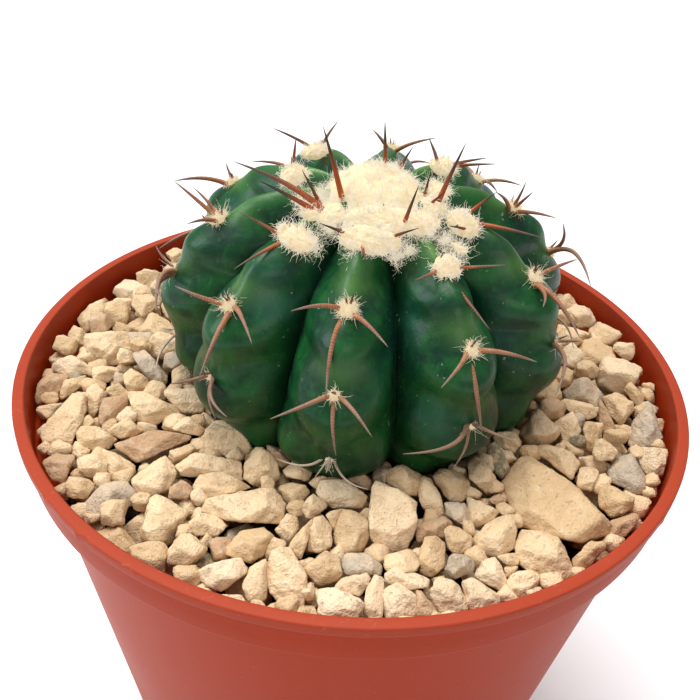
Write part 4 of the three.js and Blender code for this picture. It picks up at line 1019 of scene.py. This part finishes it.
# ---- Spines ---------------------------------------------------------------------------------
# Stiff horny spines, three to five to an areole: the longest points down the rib, two go sideways
# and one or two tiny dark ones stand above. They are reddish brown and finely ringed, the oldest
# pale and grey, and grow from the felt in a bow.

SPINE_RINGS, SPINE_SIDES, SPINE_SEED = 20, 9, 9
SPINE_BOW, SPINE_STRAY, SPINE_SINK, SPINE_FLOOR = 0.20, 0.5, 0.9, 99.6
SPINE_FOOT, SPINE_FOOT_LENGTH, SPINE_TIP = 0.25, 0.08, 0.03
# A spine's radius, by its length up to a limit, and by the latitudes at which it is fresh and old.
SPINE_RADIUS, SPINE_THICKENING, SPINE_THICKEST = 0.18, 0.024, 12
SPINE_FRESH, SPINE_OLD, SPINE_DARK = (42, 50), (38, -14), (45, 65)
# The crown's spines thicken more, but for the long ones, which curve. They are stuck so deep into
# the wool, and the long ones lie deeper.
CROWN_THICKENING, LONG_THINNING, CROWN_LONG = 0.031, 0.0145, (11, 19)
CROWN_SINK, CROWN_BURIED, CROWN_ROOTS = 3.2, 1.8, 1.0
# What an areole grows: clock angle seen from outside, lift off the skin in degrees, length.
SPINE_PATTERN = ((178, 8, 12.4), (112, 24, 9.4), (-112, 24, 9.2))
SMALL_SPINES = ((12, 50, 2.6), (-16, 62, 2.0))
# The tips that the photograph shows, by rib and areole: pixel, and height above the ribs.
SEEN_TIPS = {
    (0, 1): ((291, 311, 5), (388, 347, 4), (326, 398, 2)),
    (0, 0): ((270, 419, 5), (372, 437, 5), (336, 456, 3)),
    (0, -1): ((276, 485, 4), (315, 477, 3), (326, 473, 3), (368, 490, 4)),
    (1, 2): ((506, 265, 5), (415, 280, 5), (490, 330, 3)),
    (1, 1): ((537, 362, 5), (441, 388, 4), (482, 434, 2)),
    (1, 0): ((403, 454, 5), (516, 442, 5), (454, 467, 3)),
    (2, 1): ((578, 259, 6), (580, 338, 6), (543, 307, 4)),
    (2, 0): ((580, 341, 4), (555, 396, 5)),
    (2, 2): ((543, 238, 6), (454, 227, 2)),
    (3, 1): ((556, 218, 6), (533, 192, 6), (526, 182, 6), (496, 192, 4)),
    (3, 0): ((591, 287, 6), (563, 223, 5)),
    (9, 1): ((175, 286, 6), (199, 378, 5), (252, 344, 4)),
    (9, 0): ((170, 384, 6), (216, 420, 3), (227, 417, 4)),
    (9, 2): ((239, 212, 6), (234, 269, 5)),
    (8, 1): ((193, 187, 6), (187, 224, 6), (174, 181, 9)),
    (7, 2): ((296, 138, 7),),
    (4, 2): ((429, 138, 8), (487, 158, 7), (497, 164, 6)),
    (5, 1): ((436, 138, 7), (373, 130, 7)),
    (8, 0): ((156, 312, 5), (156, 246, 4), (162, 300, 5)),
    (7, 1): ((174, 181, 6), (226, 163, 3)),
    (6, 2): ((273, 128, 7), (338, 121, 6)),
}


def over_ribs(pixel, height):
    """The point behind a pixel of the photograph at that height above the ribs."""
    way, start = sight(pixel) @ body_turn, (eye - BODY_CENTRE) @ body_turn
    half = np.array([BODY_RADIUS, BODY_RADIUS, BODY_HALF_HEIGHT]) + height
    along, off = way / half, start / half  # in the space where the body is a ball of radius 1
    a, b, c = along @ along, along @ off, off @ off - 1
    return on_body(start + way * (-b - math.sqrt(max(b * b - a * c, 0))) / a)


along_spine = np.linspace(0, 1, SPINE_RINGS)


def bowed(base, tip, out, bow):
    """A spine's line, which leaves its base outwards and bows over to its tip."""
    span = np.linalg.norm(tip - base)
    way = (tip - base) / span
    first = base + span * (0.28 * way + bow * out)
    last = tip - span * (0.36 * way - 0.55 * bow * out)
    t = along_spine[:, None]
    return (1 - t) ** 3 * base + 3 * t * (1 - t) ** 2 * first + 3 * t * t * (1 - t) * last + t ** 3 * tip


def taper(thick, point, blunt, foot=0):
    """The radii along a spine that is so thick, widened at its foot."""
    widened = 1 + foot * bell(along_spine, 0, SPINE_FOOT_LENGTH)
    return thick * widened * (1 - along_spine ** point) ** blunt + SPINE_TIP


luck = np.random.default_rng(SPINE_SEED)
lines, radii, youth, bleach = [], [], [], []
for key, (spot, (right, up, out), latitude) in areoles.items():
    if latitude > WOOLLY_LATITUDE and key not in SEEN_TIPS:
        continue
    tips = [over_ribs((x, y), height) for x, y, height in SEEN_TIPS.get(key, ())]
    for clock, lift, length in SMALL_SPINES + (() if tips else SPINE_PATTERN):
        clock, lift = np.radians(clock + luck.normal(0, 5)), np.radians(lift + luck.normal(0, 5))
        flat = math.cos(clock) * up + math.sin(clock) * right
        length *= luck.uniform(0.85, 1.15)
        tips.append(spot + length * (math.cos(lift) * flat + math.sin(lift) * out))
    for tip in tips:
        tip[2] = max(tip[2], SPINE_FLOOR)
        toward = (tip - spot) / np.linalg.norm(tip - spot)
        base = spot + 0.45 * toward - SPINE_SINK * out
        length = np.linalg.norm(tip - base)
        fresh, old = ramp(*SPINE_FRESH, latitude), float(ramp(*SPINE_OLD, latitude))
        bend = out + luck.normal(0, SPINE_STRAY) * np.cross(out, toward)
        bow = SPINE_BOW * (0.5 if length < 4 else 1) * (1 - 0.8 * fresh + 0.5 * old)
        lines.append(bowed(base, tip, bend, bow))
        thick = SPINE_RADIUS + SPINE_THICKENING * min(length, SPINE_THICKEST)
        radii.append(taper(thick * (1 - 0.25 * fresh - 0.45 * old ** 2), 1.5, 0.8, SPINE_FOOT))
        youth.append(0.75 * ramp(*SPINE_DARK, latitude) if length > 4 else 0.8)
        bleach.append(old)

# The youngest spines, which stand in the crown: base and tip in the photograph, and by how much
# the tip is nearer to the camera than the base.
CROWN_SPINES = {
    (338, 184): (323, 126, 5.5), (385, 165): (385, 121, 6), (438, 204): (466, 143, 5),
    (403, 228): (419, 185, 4), (319, 214): (232, 161, 1), (315, 213): (258, 180, 1),
    (321, 208): (302, 170, 3), (362, 248): (366, 262, 3), (348, 236): (319, 223, 2),
    (387, 240): (419, 228, 2), (400, 168): (413, 147, 3), (425, 195): (430, 174, 3),
    (430, 205): (445, 192, 2), (475, 209): (497, 192, 1), (466, 230): (449, 226, 2),
    (385, 209): (383, 203, 1), (358, 231): (352, 225, 1), (375, 231): (381, 225, 1),
    (305, 232): (308, 224, 1), (298, 232): (297, 226, 1),
}
for base_pixel, (x, y, nearer) in CROWN_SPINES.items():
    base = over_ribs(base_pixel, CROWN_ROOTS)
    way = sight((x, y))
    depth = (base - eye) @ np.array(forward) - nearer
    tip = eye + way * depth / (way @ np.array(forward))
    length = np.linalg.norm(tip - base)
    base -= CROWN_SINK * (tip - base) / length * min(length / 8, 1)
    long = ramp(*CROWN_LONG, length)
    base += CROWN_BURIED * long * unit(base - eye)
    lines.append(bowed(base, tip, np.array([0, 0, 1.0]), 0.05 + 0.2 * long))
    thickening = CROWN_THICKENING - LONG_THINNING * long
    radii.append(taper(SPINE_RADIUS + thickening * length, 1.6, 0.9))
    youth.append(1 - 0.5 * long)
    bleach.append(0.0)

# Colours from a spine's foot to its tip, by how far along it they are.
HORN_OLD = ((0.0, (0.42, 0.17, 0.062)), (0.3, (0.34, 0.132, 0.058)), (0.7, (0.22, 0.112, 0.082)),
            (1.0, (0.24, 0.20, 0.175)))
HORN_YOUNG = ((0.0, (0.58, 0.14, 0.03)), (0.38, (0.40, 0.065, 0.017)), (0.68, (0.06, 0.038, 0.018)),
              (1.0, (0.014, 0.026, 0.016)))
HORN_RING, HORN_STREAK = (0.60, 0.32, 0.165), (0.16, 0.045, 0.025)
HORN_GREY, HORN_BLEACHED = (0.25, 0.178, 0.135), (0.56, 0.44, 0.33)
RING_TURN = 14.0  # radians of a ring's wave to a millimetre

horn = Finish("spine_horn", Roughness=0.4, Specular_IOR_Level=0.25)
along, young, bleached = (horn.carried(key) for key in ("along", "young", "bleached"))
rings = horn.node("ShaderNodeMath", {"operation": "SINE"}, {0: horn.carried("reach") * RING_TURN})
streaks = horn.noise(0.0012, detail=3)
old_colour, young_colour = (
    horn.node("ShaderNodeValToRGB", {"stops": stops}, {0: along}) for stops in (HORN_OLD, HORN_YOUNG))
colour = horn.mix(young, old_colour, young_colour)
colour = horn.mix((rings * 0.5 + 0.5) * 0.3 * (1 - young) * (1 - along * 0.7), colour, HORN_RING)
colour = horn.mix(horn.step(streaks, 0.45, 0.7) * 0.45, colour, HORN_STREAK)
colour = horn.mix(bleached * 0.8, colour, HORN_GREY)
colour = horn.mix(horn.step(bleached, 0.75, 1.0), colour, HORN_BLEACHED)
horn.wear(Base_Color=colour, Normal=horn.bump(rings * 0.3 + streaks, 0.00006))

lines, radii = np.array(lines), np.array(radii)
points, faces = tubes(lines, radii, SPINE_SIDES)
step_lengths = np.linalg.norm(np.diff(lines, axis=1, prepend=lines[:, :1]), axis=2)
per_point = {"along": along_spine, "reach": step_lengths.cumsum(1), "young": np.array(youth)[:, None],
             "bleached": np.array(bleach)[:, None]}
carried = {key: np.repeat(np.broadcast_to(values, radii.shape), SPINE_SIDES)
           for key, values in per_point.items()}
spines = mesh_object("spines", points * MM, faces, horn.material, **carried)
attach(spines, "root")
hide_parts("cactus_stem", "crown_wool")

# ---- Crown wool -----------------------------------------------------------------------------
# The growing point is hidden under a dome of dense cream wool, which runs together with the
# tufts of the youngest areoles round it. Its loose ends stand off as a soft fringe.

WOOL_RADIUS, WOOL_HEIGHT, WOOL_TOP = 9.8, 8.6, 27.4
FELT_RADIUS, FELT_HEIGHT, FELT_TOP = 11.4, 4, 22.8
WOOL_SEED = 5
# Hairs to a square millimetre, the share of the wool's thickness that is matted, and a hair's radius.
WOOL_HAIRS, WOOL_CORE, WOOL_HAIR_RADIUS = 15, 0.84, 0.043
WOOL_LUMPS, FELT_LUMPS, TUFT_LUMPS = 0.04, 0.07, 0.08
DOME_HAIR, TUFT_HAIR, WOOL_CURL = 1.4, 1.25, 0.6
# Hairs to a lock, how far apart they stand in it, and how much a lock and each hair in it lean.
LOCK_HAIRS, LOCK_SPREAD, LOCK_LEAN, HAIR_LEAN = 10, 0.35, 0.65, 0.45
# Painted shade on the crown's young wool: how far its matted cores, and a little the tufts' hairs, are
# darkened toward the old wool's colour.
DOME_CORE_SHADE, TUFT_SHADE = 0.1, 0.5
SURFACE_POWER = 1.6  # of the rule for an ellipsoid's surface, which holds to one part in a hundred
TUFT_LIFT, WISP_LIFT = 0.6, 0.3  # above the ribs
# The sparse wool that lies on the ribs between the tufts: where, its reach in millimetres, and hairs.
WISPS = (((438, 192), 1.3, 330), ((425, 232), 1.3, 260), ((446, 240), 1.0, 170), ((459, 250), 0.6, 130),
         ((322, 196), 1.4, 260), ((300, 200), 1.2, 170), ((330, 228), 1.2, 200), ((314, 247), 1.1, 120),
         ((395, 256), 1.2, 150), ((408, 250), 0.8, 110), ((352, 256), 1.1, 100))
WISP_RADIUS, WISP_LENGTH, WISP_SPREAD, WISP_CURL, WISP_STEPS = 0.026, 2.2, 0.65, 0.8, 6
PIXEL = 0.185  # millimetres that a pixel of the photograph covers at the plant
# The tufts in and round the dome: whose rib and areole one is, its middle in the photograph, and half
# its size across, up and off the rib.
TUFTS = (
    ((0, 2), (370, 240), (5.3, 2.6, 2.2)), ((1, 2), (447, 267), (2.4, 2.2, 1.8)),
    ((2, 2), (463, 224), (2.4, 3.1, 2.0)), ((3, 2), (438, 190), (2.6, 2.0, 1.2)),
    ((4, 2), (443, 167), (2.8, 2.2, 1.8)), ((5, 2), (380, 170), (1.8, 1.5, 1.0)),
    ((6, 2), (315, 152), (2.7, 1.9, 1.5)), ((7, 2), (294, 176), (3.0, 2.3, 1.9)),
    ((8, 2), (313, 212), (2.2, 1.9, 1.5)), ((9, 2), (296, 238), (4.2, 2.1, 1.8)),
    ((0, 2), (384, 220), (7.0, 3.0, 1.9)), ((1, 2), (420, 222), (3.6, 2.6, 1.2)),
    ((2, 2), (434, 205), (2.2, 2.4, 1.2)), ((2, 2), (459, 248), (0.5, 1.6, 0.5)),
    ((9, 2), (331, 213), (2.6, 2.4, 1.4)),
)

luck = np.random.default_rng(WOOL_SEED)
masses = [  # of (middle, half sizes, sides, lumps, hair length)
    (on_body(np.array([0, 0, top - height])), np.array([radius, radius, height]), body_turn.T, lumps,
     DOME_HAIR)
    for radius, height, top, lumps in ((WOOL_RADIUS, WOOL_HEIGHT, WOOL_TOP, WOOL_LUMPS),
                                       (FELT_RADIUS, FELT_HEIGHT, FELT_TOP, FELT_LUMPS))]
for key, pixel, half_sizes in TUFTS:
    masses.append((over_ribs(pixel, TUFT_LIFT), np.array(half_sizes), areoles[key][1], TUFT_LUMPS,
                   TUFT_HAIR))
fine_ways, fine_faces = ball(5)
core_points, core_faces, hair_groups, lock_shades = [], [], [], []
for middle, half_sizes, sides, lumps, long in masses:
    core_faces.append(fine_faces + len(fine_ways) * len(core_points))
    core_points.append(cushion(middle, half_sizes * WOOL_CORE, sides, lumps, fine_ways, luck))
    half_surface = 2 * np.pi * (
        ((half_sizes * np.roll(half_sizes, 1)) ** SURFACE_POWER).mean()) ** (1 / SURFACE_POWER)
    hairs = int(WOOL_HAIRS * half_surface)
    locks = luck.normal(0, 1, (max(1, hairs // LOCK_HAIRS), 3))
    locks[:, 2] = np.abs(locks[:, 2]) - 0.4
    locks = unit(locks)
    lock_lean, lock = luck.normal(0, LOCK_LEAN, locks.shape), luck.integers(0, len(locks), hairs)
    spread = unit(locks[lock] + luck.normal(0, LOCK_SPREAD, (hairs, 3)) / half_sizes)
    roots = middle + (spread * half_sizes * WOOL_CORE * 0.97) @ sides
    outward = 0.9 * spread / half_sizes * half_sizes.mean()
    ways = unit(outward + lock_lean[lock] + luck.normal(0, HAIR_LEAN, spread.shape)) @ sides
    lengths = long * luck.lognormal(-0.1, 0.35, hairs)
    hair_groups.append(wandering(roots, ways, lengths, WOOL_CURL, luck, len(HAIR_TAPER)))
    lock_shades.append((luck.random(len(locks)) ** 2)[lock])
core_points = np.concatenate(core_points)
core_shades = np.repeat([DOME_CORE_SHADE] * 2 + [TUFT_SHADE] * len(TUFTS), len(fine_ways))
core = mesh_object("crown_felt", core_points * MM, np.concatenate(core_faces).tolist(), wool.material,
                   age=core_shades, tip=np.zeros(len(core_points)))
fringe = []
for name, part, shade in (("crown_wool_dome", slice(1), 0), ("crown_wool_skirt", slice(1, 2), 0),
                          ("crown_wool_tufts", slice(2, None), 0.3 * TUFT_SHADE)):
    fringe.append(hair_piece(name, np.concatenate(hair_groups[part]), WOOL_HAIR_RADIUS * HAIR_TAPER,
                             shade + 0.35 * np.concatenate(lock_shades[part]),
                             np.linspace(0.1, 1, len(HAIR_TAPER))))
roots = []
for pixel, reach, hairs in WISPS:
    for _ in range(hairs):
        strewn = pixel + luck.normal(0, WISP_SPREAD, 2) * reach / PIXEL
        roots.append(over_ribs(strewn.tolist(), WISP_LIFT))
roots = np.array(roots)
ways = unit(luck.normal(0, 1, roots.shape) + (0, 0, 0.2))
lengths = WISP_LENGTH * luck.lognormal(0, 0.3, len(roots))
strands = wandering(roots, ways, lengths, WISP_CURL, luck, WISP_STEPS)
fringe.append(hair_piece("crown_wool_wisps", strands, WISP_RADIUS * np.linspace(1, 0.4, WISP_STEPS),
                         np.full(len(strands), 0.2), np.full(WISP_STEPS, 0.6)))
for piece in (core, *fringe):
    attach(piece, "root")
    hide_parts("crown_wool")
